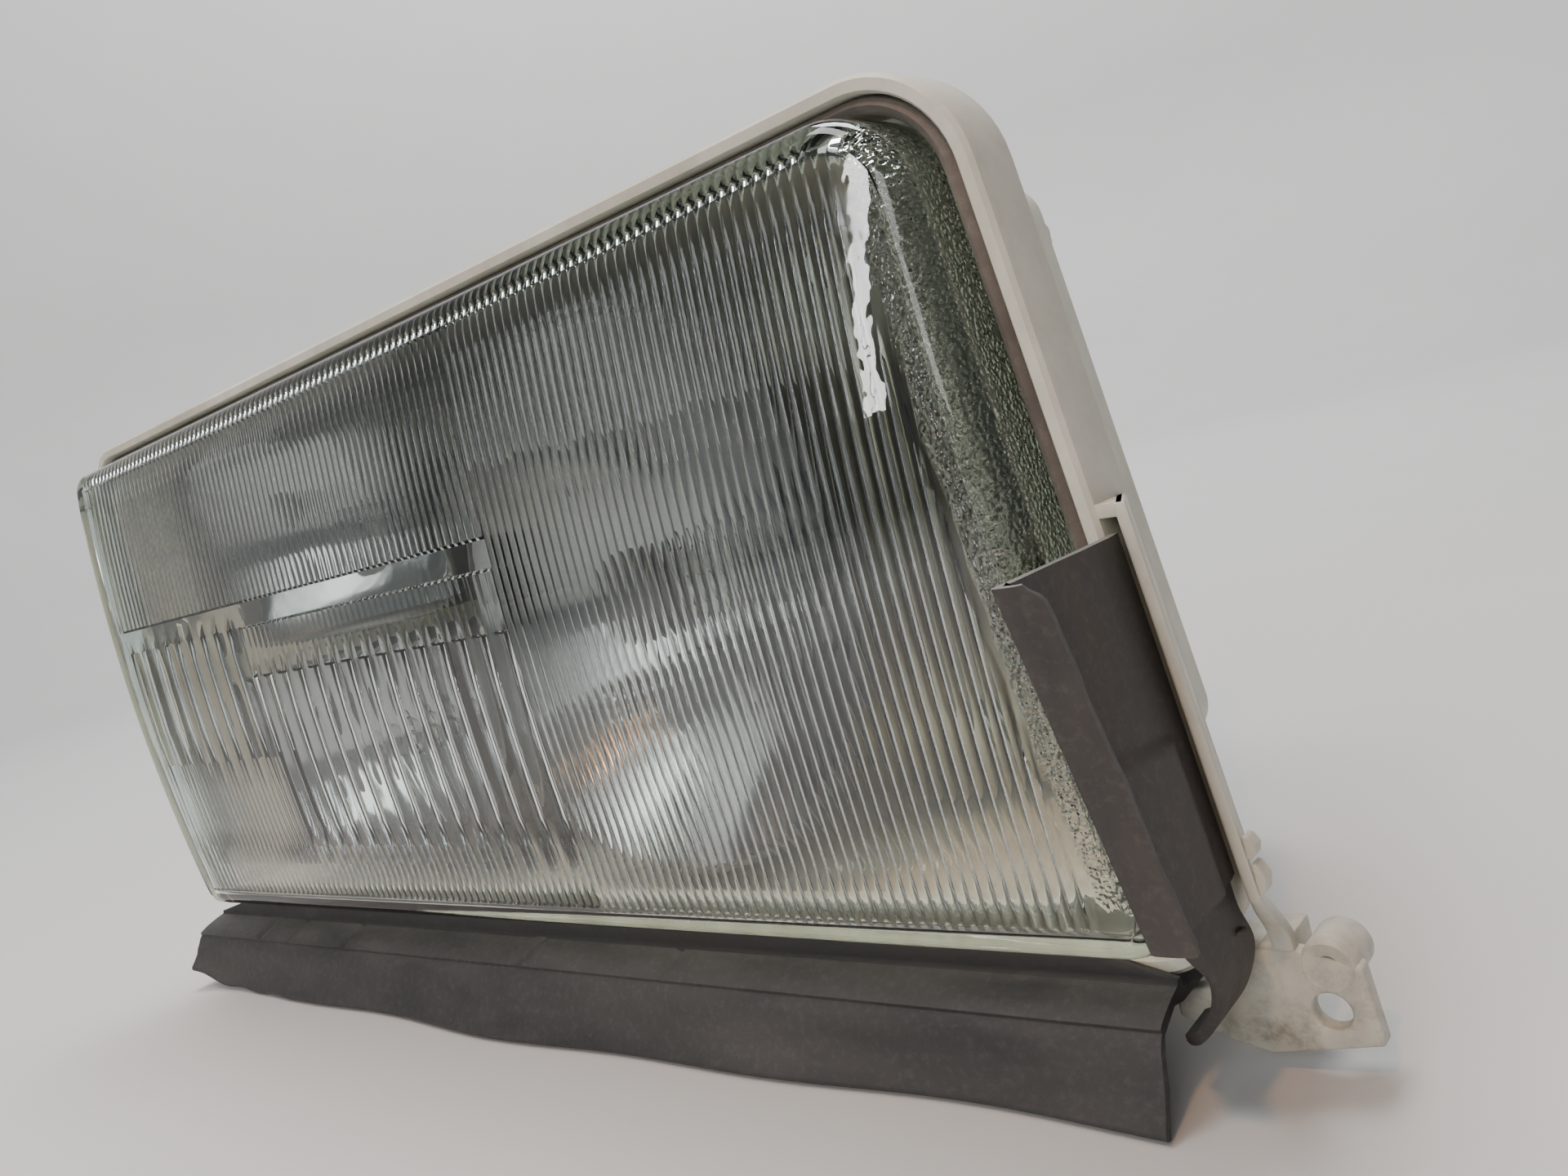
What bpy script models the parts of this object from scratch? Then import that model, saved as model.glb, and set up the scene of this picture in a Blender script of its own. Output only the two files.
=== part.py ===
# Car headlight assembly: housing, fluted lens, three aimable reflectors, bulbs, seals and rear cover.
# Lamp frame used below: x to the outer end of the lamp, y to the rear, z up, floor at z = 0,
# x = 0 midway along the bottom edge of the glass, y = 0 at the outer edge of the glass face.
from math import cos, sin, pi, radians, hypot

import bmesh
import bpy
from mathutils import Matrix, Vector

# driving dimensions (metres)
GAP = 0.0003                 # running gap between touching pieces

LENS_WIDTH = 0.380           # along the bottom edge
LENS_HEIGHT = 0.165
LENS_BOTTOM = 0.030          # height of the glass over the floor
SLANT_OUTER = 0.109          # the outer edge leans in by this much per unit of height
SLANT_INNER = 0.048          # the inner edge leans out by this much per unit of height
LENS_BULGE = 0.0054          # the face bows forward at half height
GLASS = 0.0035               # thickness of the pressed glass
RIM_FRONT = 0.012            # front of the housing rim, behind the glass face
GROOVE_FLOOR = 0.0245
GASKET_WIDTH = 0.0036
RIM_WIDTH = 0.0036
WALL = 0.003                 # housing wall

REAR_WALL = 0.140            # outside of the rear wall
COVER_FLANGE = 0.0025
COVER_BACK = 0.1535
HINGE_Y = 0.147              # cover hinge
HINGE_Z = 0.052
BAIL_WIRE = 0.0014

DIPPED_CENTRE = (0.055, 0.111)
DIPPED_RADIUS = 0.0715
MAIN_CENTRE = (-0.090, 0.1515)
FOG_CENTRE = (-0.090, 0.0765)
INNER_HALF_WIDTH = 0.064
INNER_HALF_HEIGHT = 0.0325
FOCAL_LENGTH = 0.0255
REFLECTOR_FRONT = 0.030
REFLECTOR_VERTEX = 0.0801
REFLECTOR_SHEET = 0.0018
COLLAR_BACK = 0.0905

FRAME_FRONT = 0.0840         # pressed frame that carries the reflectors
FRAME_SHEET = 0.0025
AIM_Y = 0.097                # both aim axes pass through the pivot ball
PIVOT_X = 0.115
PIVOT_Z = 0.046
VERTICAL_Z = 0.180           # height of the vertical adjuster, straight above the pivot
HORIZONTAL_X = -0.168        # the horizontal adjuster, level with the pivot
SCREW_RADIUS = 0.004

EAR_HOLE = (0.208, 0.0135)
EAR_HOLE_RADIUS = 0.0035
EAR_FRONT = 0.020
EAR_SHEET = 0.004
EAR_BOSS = (0.2090, 0.0222)

FOOT_X = (-0.135, 0.105)     # middles of the two feet
FOOT_Y = (0.052, 0.122)
BREATHER = (-0.172, 0.160)
CONNECTOR = (-0.1715, 0.110)
CLIP_Y = 0.0946              # plane of the bulb clips
CLIP_WIRE = 0.0008
PARKING = (DIPPED_CENTRE[0] - 0.0290, DIPPED_CENTRE[1] - 0.0300)
SHIELD_FOOT = (DIPPED_CENTRE[0], DIPPED_CENTRE[1] - 0.0200)

for old in list(bpy.data.objects):
    bpy.data.objects.remove(old, do_unlink=True)

root = bpy.data.objects.new("lamp_frame", None)
bpy.context.scene.collection.objects.link(root)


# materials
def material(name, colour, roughness, metallic=0.0, transmission=0.0):
    made = bpy.data.materials.new(name)
    made.use_nodes = True
    shader = made.node_tree.nodes["Principled BSDF"]
    shader.inputs["Base Color"].default_value = (*colour, 1.0)
    shader.inputs["Roughness"].default_value = roughness
    shader.inputs["Metallic"].default_value = metallic
    shader.inputs["Transmission Weight"].default_value = transmission
    return made


cream_plastic = material("cream_plastic", (0.58, 0.56, 0.48), 0.55)
lens_green_glass = material("lens_green_glass", (0.80, 0.88, 0.83), 0.05, 0.0, 0.9)
bulb_clear_glass = material("bulb_clear_glass", (0.95, 0.95, 0.95), 0.03, 0.0, 0.95)
gasket_rubber = material("gasket_rubber", (0.19, 0.16, 0.14), 0.8)
side_rubber = material("side_rubber", (0.065, 0.055, 0.052), 0.75)
skirt_rubber = material("skirt_rubber", (0.045, 0.045, 0.045), 0.7)
mirror_metal = material("mirror_metal", (0.80, 0.80, 0.80), 0.12, 1.0)
frame_steel = material("frame_steel", (0.42, 0.40, 0.33), 0.4, 1.0)
spring_steel = material("spring_steel", (0.50, 0.50, 0.50), 0.3, 1.0)
bulb_metal = material("bulb_metal", (0.55, 0.54, 0.50), 0.35, 1.0)
shield_black = material("shield_black", (0.03, 0.03, 0.03), 0.5, 0.6)
black_plastic = material("black_plastic", (0.025, 0.025, 0.025), 0.5)
white_plastic = material("white_plastic", (0.70, 0.69, 0.64), 0.45)
terminal_brass = material("terminal_brass", (0.55, 0.42, 0.20), 0.35, 1.0)


# shape helpers
def to_object(name, mesh_data, smooth_angle=radians(35)):
    mesh = bpy.data.meshes.new(name)
    bmesh.ops.recalc_face_normals(mesh_data, faces=mesh_data.faces)
    mesh_data.to_mesh(mesh)
    mesh_data.free()
    mesh.shade_smooth()
    mesh.set_sharp_from_angle(angle=smooth_angle)
    made = bpy.data.objects.new(name, mesh)
    bpy.context.scene.collection.objects.link(made)
    return made


def loft(name, rings, ring_closed):
    """Skin rings of points. A closed stack makes a tube wall, an open one is capped at both ends."""
    data = bmesh.new()
    rows = [[data.verts.new(point) for point in ring] for ring in rings]
    count = len(rows[0])
    pairs = list(zip(rows, rows[1:]))
    if ring_closed:
        pairs.append((rows[-1], rows[0]))
    for first, second in pairs:
        for i in range(count):
            j = (i + 1) % count
            data.faces.new((first[i], first[j], second[j], second[i]))
    if not ring_closed:
        data.faces.new(rows[0])
        data.faces.new(rows[-1])
    return to_object(name, data)


def rounded_polygon(corners, radii, steps=5):
    """Points (x, z) round a convex polygon whose corners are arcs; the same count for any sizes."""
    points = []
    total = len(corners)
    for i in range(total):
        here = Vector(corners[i])
        before = (Vector(corners[i - 1]) - here).normalized()
        after = (Vector(corners[(i + 1) % total]) - here).normalized()
        half = before.angle(after) / 2
        middle = here + (before + after).normalized() * radii[i] / sin(half)
        start = here + before * radii[i] / (sin(half) / cos(half)) - middle
        end = here + after * radii[i] / (sin(half) / cos(half)) - middle
        turn = start.angle(end)
        side = 1 if start.x * end.y - start.y * end.x > 0 else -1
        for k in range(steps):
            part = side * turn * k / (steps - 1)
            points.append((middle.x + start.x * cos(part) - start.y * sin(part),
                           middle.y + start.x * sin(part) + start.y * cos(part)))
    return points


def grow(corners, amount):
    """Move each side of a counter-clockwise polygon outward."""
    total = len(corners)
    moved = []
    for i in range(total):
        here = Vector(corners[i])
        before = (here - Vector(corners[i - 1])).normalized()
        after = (Vector(corners[(i + 1) % total]) - here).normalized()
        normal_one = Vector((before.y, -before.x))
        normal_two = Vector((after.y, -after.x))
        bisector = (normal_one + normal_two).normalized()
        moved.append(here + bisector * amount / bisector.dot(normal_one))
    return moved


def ring_at(corners, radii, amount, y):
    grown = rounded_polygon(grow(corners, amount), [max(r + amount, 0.001) for r in radii])
    return [(x, y, z) for x, z in grown]


def box(name, low, high):
    data = bmesh.new()
    bmesh.ops.create_cube(data, size=1.0)
    size = Vector(high) - Vector(low)
    middle = (Vector(high) + Vector(low)) / 2
    bmesh.ops.transform(data, verts=data.verts,
                        matrix=Matrix.Translation(middle) @ Matrix.Diagonal((*size, 1.0)))
    return to_object(name, data)


def lathe(name, centre, profile, sides=24, axis="y", closed=False):
    """Turn (radius, distance) points about an axis through centre."""
    rings = []
    for radius, along in profile:
        ring = []
        for k in range(sides):
            a = 2 * pi * k / sides
            u, v = centre[0] + radius * cos(a), centre[1] + radius * sin(a)
            ring.append({"x": (along, u, v), "y": (u, along, v), "z": (u, v, along)}[axis])
        rings.append(ring)
    return loft(name, rings, closed)


def slab(name, outline, front, back):
    """A flat plate: an outline of (x, z) points pushed from front to back along y."""
    rings = [[(x, y, z) for x, z in outline] for y in (front, back)]
    return loft(name, rings, False)


def apply_boolean(body, other, operation):
    modifier = body.modifiers.new("boolean", "BOOLEAN")
    modifier.operation = operation
    modifier.solver = "EXACT"
    modifier.object = other
    graph = bpy.context.evaluated_depsgraph_get()
    result = bpy.data.meshes.new_from_object(body.evaluated_get(graph))
    body.modifiers.clear()
    body.data = result
    bpy.data.objects.remove(other, do_unlink=True)
    body.data.shade_smooth()
    body.data.set_sharp_from_angle(angle=radians(35))


def add(body, *pieces):
    for piece in pieces:
        apply_boolean(body, piece, "UNION")


def cut(body, *cutters):
    for cutter in cutters:
        apply_boolean(body, cutter, "DIFFERENCE")


def wire(name, points, radius, closed, sides=8):
    """A round wire along a polyline, mitred at each point."""
    total = len(points)
    path = [Vector(p) for p in points]
    rings = []
    normal = None
    for i, here in enumerate(path):
        ahead = path[(i + 1) % total] - here if closed or i < total - 1 else here - path[i - 1]
        behind = here - path[i - 1] if closed or i > 0 else ahead
        tangent = (ahead.normalized() + behind.normalized()).normalized()
        if normal is None:
            normal = tangent.orthogonal().normalized()
        normal = (normal - tangent * normal.dot(tangent)).normalized()
        binormal = tangent.cross(normal)
        turns = [2 * pi * k / sides for k in range(sides)]
        rings.append([here + (normal * cos(a) + binormal * sin(a)) * radius for a in turns])
    return loft(name, rings, closed)


def finish(made, surface, joint=None):
    """Give a piece its material and hang it in the lamp; a moving piece gets its origin on its joint."""
    made.data.materials.clear()
    made.data.materials.append(surface)
    if joint is not None:
        made.data.transform(Matrix.Translation(-Vector(joint)))
        made.location = joint
    made.parent = root
    return made


# outlines shared by the glass, the gasket and the housing
lens_top = LENS_BOTTOM + LENS_HEIGHT
lens_half = LENS_WIDTH / 2
lens_middle_z = LENS_BOTTOM + LENS_HEIGHT / 2
lens_corners = [(-lens_half, LENS_BOTTOM), (lens_half, LENS_BOTTOM),
                (lens_half - SLANT_OUTER * LENS_HEIGHT, lens_top),
                (-lens_half - SLANT_INNER * LENS_HEIGHT, lens_top)]
lens_radii = [0.006, 0.010, 0.018, 0.008]
rear_corners = [(-0.190, 0.030), (0.148, 0.030), (0.130, 0.195), (-0.194, 0.192)]
rear_radii = [0.012] * 4
opening_corners = [(-0.150, 0.066), (0.088, 0.066), (0.088, 0.168), (-0.150, 0.168)]
opening_radii = [0.012] * 4


def outer_edge(z):
    """x of the glass's outer edge at a height."""
    return lens_half - SLANT_OUTER * (z - LENS_BOTTOM)


def lens_ring(amount, y):
    return ring_at(lens_corners, lens_radii, amount, y)


def face_ring(share, y):
    """A ring on the bowed face: share 0 is the edge of the face, 1 is its middle line."""
    ring = []
    for x, _, z in lens_ring(-0.003, 0):
        middle_x = min(max(x, -0.115), 0.105)
        px = x + (middle_x - x) * share
        pz = z + (lens_middle_z - z) * share
        reach = (pz - lens_middle_z) / (LENS_HEIGHT / 2)
        ring.append((px, y - LENS_BULGE * (1 - reach * reach), pz))
    return ring


def make_lens():
    steps = (0.0, 0.15, 0.35, 0.6, 0.9)
    outside = [lens_ring(0, GROOVE_FLOOR - GAP), lens_ring(0, 0.004), lens_ring(-0.0009, 0.0012)]
    outside += [face_ring(s, 0.0) for s in steps]
    inside = [face_ring(s, GLASS) for s in reversed(steps[1:])]
    inside += [lens_ring(-GLASS - 0.002, GLASS + 0.001), lens_ring(-GLASS, GLASS + 0.005),
               lens_ring(-GLASS, GROOVE_FLOOR - GAP)]
    data = bmesh.new()
    halves = []
    for stack in (outside, inside):
        rows = [[data.verts.new(p) for p in ring] for ring in stack]
        for first, second in zip(rows, rows[1:]):
            for i in range(len(first)):
                j = (i + 1) % len(first)
                data.faces.new((first[i], first[j], second[j], second[i]))
        halves.append(rows)
    outer_rows, inner_rows = halves
    data.faces.new(outer_rows[-1])
    data.faces.new(inner_rows[0])
    back_outer, back_inner = outer_rows[0], inner_rows[-1]
    for i in range(len(back_outer)):
        j = (i + 1) % len(back_outer)
        data.faces.new((back_outer[i], back_outer[j], back_inner[j], back_inner[i]))
    finish(to_object("lens_glass", data), lens_green_glass)


def make_gasket():
    inner, outer = GAP, GAP + GASKET_WIDTH
    front, back = RIM_FRONT + 0.0015, GROOVE_FLOOR - GAP
    rings = [lens_ring(inner, front), lens_ring(outer, front), lens_ring(outer, back), lens_ring(inner, back)]
    finish(loft("lens_gasket", rings, True), gasket_rubber)


def rear_ring(amount, y):
    return ring_at(rear_corners, rear_radii, amount, y)


def opening_ring(amount, y):
    return ring_at(opening_corners, opening_radii, amount, y)


# housing
groove_outer = GASKET_WIDTH + 2 * GAP
rim_outer = groove_outer + RIM_WIDTH
groove_inner = -GLASS - 0.0007
side_wall_low = 0.0385
side_wall_top = 0.114
side_wall_out = 0.0150       # outside of the side wall at its front, from the edge of the glass
side_wall_sheet = 0.0024
side_wall_front = 0.010
side_wall_back = 0.0352
side_wall_lean = 0.0110      # the wall leans in by this much from its front to its back

ear_outline = [(0.1780, 0.0100), (0.1885, 0.0056), (0.1950, 0.0038), (0.2163, 0.0075), (0.2150, 0.0226),
               (0.2040, 0.0250), (0.1960, 0.0250), (0.1950, 0.0234), (0.1862, 0.0234), (0.1862, 0.0165),
               (0.1780, 0.0160)]


def edge_prism(name, low, high, section):
    """A prism that follows the slant of the glass's outer edge; section points are (from that edge, y)."""
    rings = [[(outer_edge(z) + away, y, z) for away, y in section] for z in (low, high)]
    return loft(name, rings, False)


def make_housing():
    rings = [
        lens_ring(rim_outer, RIM_FRONT + 0.0006), lens_ring(rim_outer, 0.034), lens_ring(WALL, 0.038),
        rear_ring(0.0, 0.128), rear_ring(-0.002, REAR_WALL),
        opening_ring(0.0, REAR_WALL), opening_ring(0.0, REAR_WALL - WALL),
        rear_ring(-0.005, REAR_WALL - WALL), rear_ring(-0.003, 0.126),
        lens_ring(0.0, 0.038), lens_ring(0.0, GROOVE_FLOOR + WALL),
        lens_ring(groove_inner, GROOVE_FLOOR + WALL),
        lens_ring(groove_inner, GROOVE_FLOOR), lens_ring(groove_outer, GROOVE_FLOOR),
        lens_ring(groove_outer, RIM_FRONT), lens_ring(rim_outer - 0.0006, RIM_FRONT)]
    shell = loft("housing_shell", rings, True)
    inside = side_wall_out - side_wall_sheet
    leaned = side_wall_out - side_wall_lean
    wall = [(inside, side_wall_front), (side_wall_out, side_wall_front),
            (leaned, side_wall_back), (leaned - side_wall_sheet, side_wall_back)]
    ledge = [(rim_outer - 0.001, side_wall_front + 0.0030),
             (side_wall_out - 0.001, side_wall_front + 0.0004),
             (leaned, side_wall_back - 0.0006),
             (rim_outer - 0.003, side_wall_back - 0.003)]
    add(shell, edge_prism("side_wall", side_wall_low, side_wall_top, wall),
        edge_prism("side_ledge", side_wall_top - 0.003, side_wall_top - 0.0004, ledge))
    ear_back = EAR_FRONT + EAR_SHEET
    add(shell, slab("ear", ear_outline, EAR_FRONT, ear_back))
    foot_section = ((inside + 0.0002, side_wall_front + 0.0002),
                    (side_wall_out - 0.0002, side_wall_front + 0.0002),
                    (side_wall_out - 0.0048, 0.0208), (inside - 0.0048, 0.0208))
    wall_foot = [(outer_edge(side_wall_low + 0.002) + away, y) for away, y in foot_section]
    ear_root = [(0.1992, EAR_FRONT + 0.0004), (0.2034, EAR_FRONT + 0.0004),
                (0.2034, ear_back - 0.0004), (0.1992, ear_back - 0.0004)]
    sections = ((ear_root, 0.0235), (ear_root, 0.0256), (wall_foot, side_wall_low + 0.002))
    add(shell, loft("ear_bracket", [[(x, y, z) for x, y in section] for section, z in sections], False))
    ear_gusset = [(0.1880, 0.0110), (0.2060, 0.0150), (0.2060, 0.0250),
                  (0.1960, 0.0250), (0.1950, 0.0232), (0.1880, 0.0232)]
    add(shell, slab("ear_gusset", ear_gusset, ear_back - 0.001, 0.037))
    add(shell, lathe("ear_boss", EAR_BOSS, [(0.0052, EAR_FRONT + 0.001), (0.0052, 0.032)]))
    for x in FOOT_X:
        foot = [(x - 0.016, 0.034), (x - 0.012, 0.0), (x + 0.012, 0.0), (x + 0.016, 0.034)]
        add(shell, slab("foot", foot, *FOOT_Y))
        cut(shell, box("foot_hollow", (x - 0.009, FOOT_Y[0] - 0.003, 0.004),
                       (x + 0.009, FOOT_Y[1] + 0.003, 0.020)))
        foot_middle = (x, sum(FOOT_Y) / 2)
        cut(shell, lathe("foot_hole", foot_middle, [(0.0035, -0.002), (0.0035, 0.006)], 16, "z"))
    for low_side in (opening_corners[0][0] - 0.002, opening_corners[1][0] - 0.005):
        lug = [(HINGE_Y - 0.0075, HINGE_Z - 0.0045), (HINGE_Y + 0.003, HINGE_Z - 0.0035),
               (HINGE_Y + 0.003, HINGE_Z + 0.0035), (HINGE_Y - 0.0075, HINGE_Z + 0.0045)]
        rings = [[(px, y, z) for y, z in lug] for px in (low_side, low_side + 0.006)]
        add(shell, loft("hinge_lug", rings, False))
        cut(shell, lathe("lug_bore", (HINGE_Y, HINGE_Z),
                         [(0.0023, low_side - 0.001), (0.0023, low_side + 0.007)], 16, "x"))
    for x in (-0.070, 0.008):
        add(shell, box("bail_catch", (x - 0.006, REAR_WALL - 0.001, bail_top + 0.0022),
                       (x + 0.006, HINGE_Y + 0.0050, bail_top + 0.0047)))
    cut(shell, lathe("ear_hole", EAR_HOLE,
                     [(EAR_HOLE_RADIUS, EAR_FRONT - 0.002), (EAR_HOLE_RADIUS, 0.045)]))
    before_wall, behind_wall = REAR_WALL - 0.009, REAR_WALL + 0.006
    rear_holes = (("vertical_bush_hole", (PIVOT_X, VERTICAL_Z), 0.0063, 20),
                  ("horizontal_bush_hole", (HORIZONTAL_X, PIVOT_Z), 0.0063, 20),
                  ("stud_hole", (PIVOT_X, PIVOT_Z), 0.0031, 16),
                  ("breather_hole", BREATHER, 0.0038, 16))
    for name, spot, radius, sides in rear_holes:
        cut(shell, lathe(name, spot, [(radius, before_wall), (radius, behind_wall)], sides))
    cut(shell, box("connector_hole", (CONNECTOR[0] - 0.009, before_wall, CONNECTOR[1] - 0.022),
                   (CONNECTOR[0] + 0.009, behind_wall, CONNECTOR[1] + 0.022)))
    finish(shell, cream_plastic)


# rubber seals
def strip_outline(centre_line, half):
    """A polygon round a thin sheet given by its middle line."""
    left, right = [], []
    for i, here in enumerate(centre_line):
        a = Vector(centre_line[max(i - 1, 0)])
        b = Vector(centre_line[min(i + 1, len(centre_line) - 1)])
        direction = (b - a).normalized()
        normal = Vector((-direction.y, direction.x)) * half
        left.append(Vector(here) + normal)
        right.append(Vector(here) - normal)
    return left + right[::-1]


def make_side_seal():
    """A sheet from the side wall forward past the glass, turned outward along its front edge."""
    sheet_low, sheet_high, step = 0.0430, 0.1080, 0.0705
    rings = []
    for z in (sheet_low, 0.0560, step - 0.0008, step + 0.0008, 0.0840, 0.0960, sheet_high):
        edge = outer_edge(z)
        share = (z - sheet_low) / (sheet_high - sheet_low)
        tip = -0.0195 - 0.0095 * share
        raised = 0.0014 if z < step else 0.0
        line = [(edge + 0.0092, 0.0135), (edge + 0.0099, 0.0090), (edge + 0.0098 + raised, tip * 0.2),
                (edge + 0.0090 + raised, tip * 0.8), (edge + 0.0085, tip + 0.0010), (edge + 0.0092, tip),
                (edge + 0.0130, tip - 0.0003), (edge + 0.0160, tip + 0.0002)]
        rings.append([(p.x, p.y, z) for p in strip_outline(line, 0.0009)])
    seal = loft("side_seal", rings, False)
    # each station of the tab: x, z, its front edge, its back edge
    path = [(0.1974, 0.0462, -0.0150, 0.0112), (0.1980, 0.0380, -0.0100, 0.0112),
            (0.1984, 0.0300, -0.0040, 0.0140), (0.1950, 0.0215, 0.0000, 0.0145),
            (0.1900, 0.0158, 0.0020, 0.0145), (0.1868, 0.0142, 0.0040, 0.0145)]
    sides = strip_outline([(x, z) for x, z, _, _ in path], 0.0011)
    pairs = zip(sides[:len(path)], sides[:len(path) - 1:-1], path)
    rings = [[(a.x, front, a.y), (b.x, front, b.y), (b.x, back, b.y), (a.x, back, a.y)]
             for a, b, (_, _, front, back) in pairs]
    add(seal, loft("seal_tab", rings, False))
    finish(seal, side_rubber)


def make_skirt_seal():
    """A strip under the glass: a leg in front of the rim, a ledge, a lip that flares to the floor."""
    left, right, stations = -0.2040, 0.1850, 19
    rings = []
    for k in range(stations):
        share = k / (stations - 1)
        x = left + (right - left) * share
        wave = 0.0016 * sin(share * 9.0) + 0.0010 * sin(share * 23.0)
        curl = max(0.0, 1 - share / 0.10)
        lift = 0.006 * curl * curl
        leg = 0.0284 - 0.0050 * max(0.0, 1 - 16 * share, 1 - 22 * (1 - share))
        ledge = [(0.0300, 0.0189), (0.0300, 0.0207), (0.0114, 0.0207), (0.0112, leg),
                 (0.0096, leg), (0.0092, 0.0225), (0.0060, 0.0217), (-0.0010, 0.0190)]
        lip = [(-0.0030, 0.0150), (-0.0045 + wave / 2, 0.0090 + lift / 2),
               (-0.0080 + wave, 0.0018 + lift), (-0.0062 + wave, 0.0002 + lift),
               (-0.0027 + wave / 2, 0.0082 + lift / 2), (-0.0012, 0.0145)]
        ring = ledge + lip + [(0.0002, 0.0172), (0.0062, 0.0198), (0.0100, 0.0189)]
        rings.append([(x, y, z) for y, z in ring])
    finish(loft("skirt_seal", rings, False), skirt_rubber)


# reflectors
def bowl_depth(radius):
    return REFLECTOR_VERTEX - radius * radius / (4 * FOCAL_LENGTH)


def reach_of_circle(angle):
    return DIPPED_RADIUS


def reach_of_rectangle(angle):
    """Distance from the middle to a rounded rectangle in a direction."""
    power = 10
    a = abs(cos(angle)) / INNER_HALF_WIDTH
    b = abs(sin(angle)) / INNER_HALF_HEIGHT
    return 1 / (a ** power + b ** power) ** (1 / power)


def make_reflector(name, centre, reach, hole, collar, sides, lug_radius, lug_spread):
    def ring(radius_at, y_at):
        points = []
        for k in range(sides):
            a = 2 * pi * k / sides
            r = radius_at(a)
            points.append((centre[0] + r * cos(a), y_at(r), centre[1] + r * sin(a)))
        return points

    def between(share, extra):
        return lambda a: hole + (reach(a) + extra - hole) * share

    def collar_round(a):
        return collar

    sheet = REFLECTOR_SHEET
    rings = [ring(between(s, 0.0), bowl_depth) for s in (0.0, 0.3, 0.6, 0.82, 1.0)]
    rings.append(ring(between(1.0, 0.0), lambda r: REFLECTOR_FRONT - 0.001))
    rings.append(ring(between(1.0, 0.0022), lambda r: REFLECTOR_FRONT - 0.001))
    rings.append(ring(between(1.0, 0.0022), lambda r: REFLECTOR_FRONT + 0.001))
    rings.append(ring(between(1.0, sheet), lambda r: REFLECTOR_FRONT + 0.0015))
    rings += [ring(between(s, sheet), lambda r: bowl_depth(r) + sheet * 1.2) for s in (1.0, 0.7)]
    rings.append(ring(collar_round, lambda r: bowl_depth(r) + sheet * 1.2))
    rings.append(ring(collar_round, lambda r: COLLAR_BACK))
    rings.append(ring(lambda a: hole, lambda r: COLLAR_BACK))
    bowl = loft(name, rings, True)
    for side in (-1, 1):
        x = centre[0] + side * lug_spread
        z = centre[1] + lug_radius
        add(bowl, box("clip_lug", (x - 0.0015, COLLAR_BACK - 0.001, z - 0.0040),
                      (x + 0.0015, CLIP_Y + 0.0022, z + 0.0022)))
        cut(bowl, lathe("clip_bore", (CLIP_Y, z), [(0.0013, x - 0.003), (0.0013, x + 0.003)], 12, "x"))
    return bowl


lamps = {
    "dipped": dict(centre=DIPPED_CENTRE, reach=reach_of_circle, sides=32, hole=0.0130, collar=0.0270,
                   flange=0.0210, cap=0.0125, hinge=0.0245, leg=0.0150, bar=0.0195, glass=0.0085, tip=0.040,
                   blades=3),
    "main": dict(centre=MAIN_CENTRE, reach=reach_of_rectangle, sides=32, hole=0.0080, collar=0.0190,
                 flange=0.0135, cap=0.0080, hinge=0.0170, leg=0.0105, bar=0.0130, glass=0.0058, tip=0.047,
                 blades=1),
    "fog": dict(centre=FOG_CENTRE, reach=reach_of_rectangle, sides=32, hole=0.0080, collar=0.0190,
                flange=0.0135, cap=0.0080, hinge=0.0170, leg=0.0105, bar=0.0130, glass=0.0058, tip=0.047,
                blades=1),
}
screw_places = {"dipped": ((-0.030, 0.034), (0.045, 0.0), (0.020, -0.040)),
                "main": ((-0.034, 0.0), (0.034, 0.0)), "fog": ((-0.034, 0.0), (0.034, 0.0))}
aim_joint = (PIVOT_X, AIM_Y, PIVOT_Z)


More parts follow.
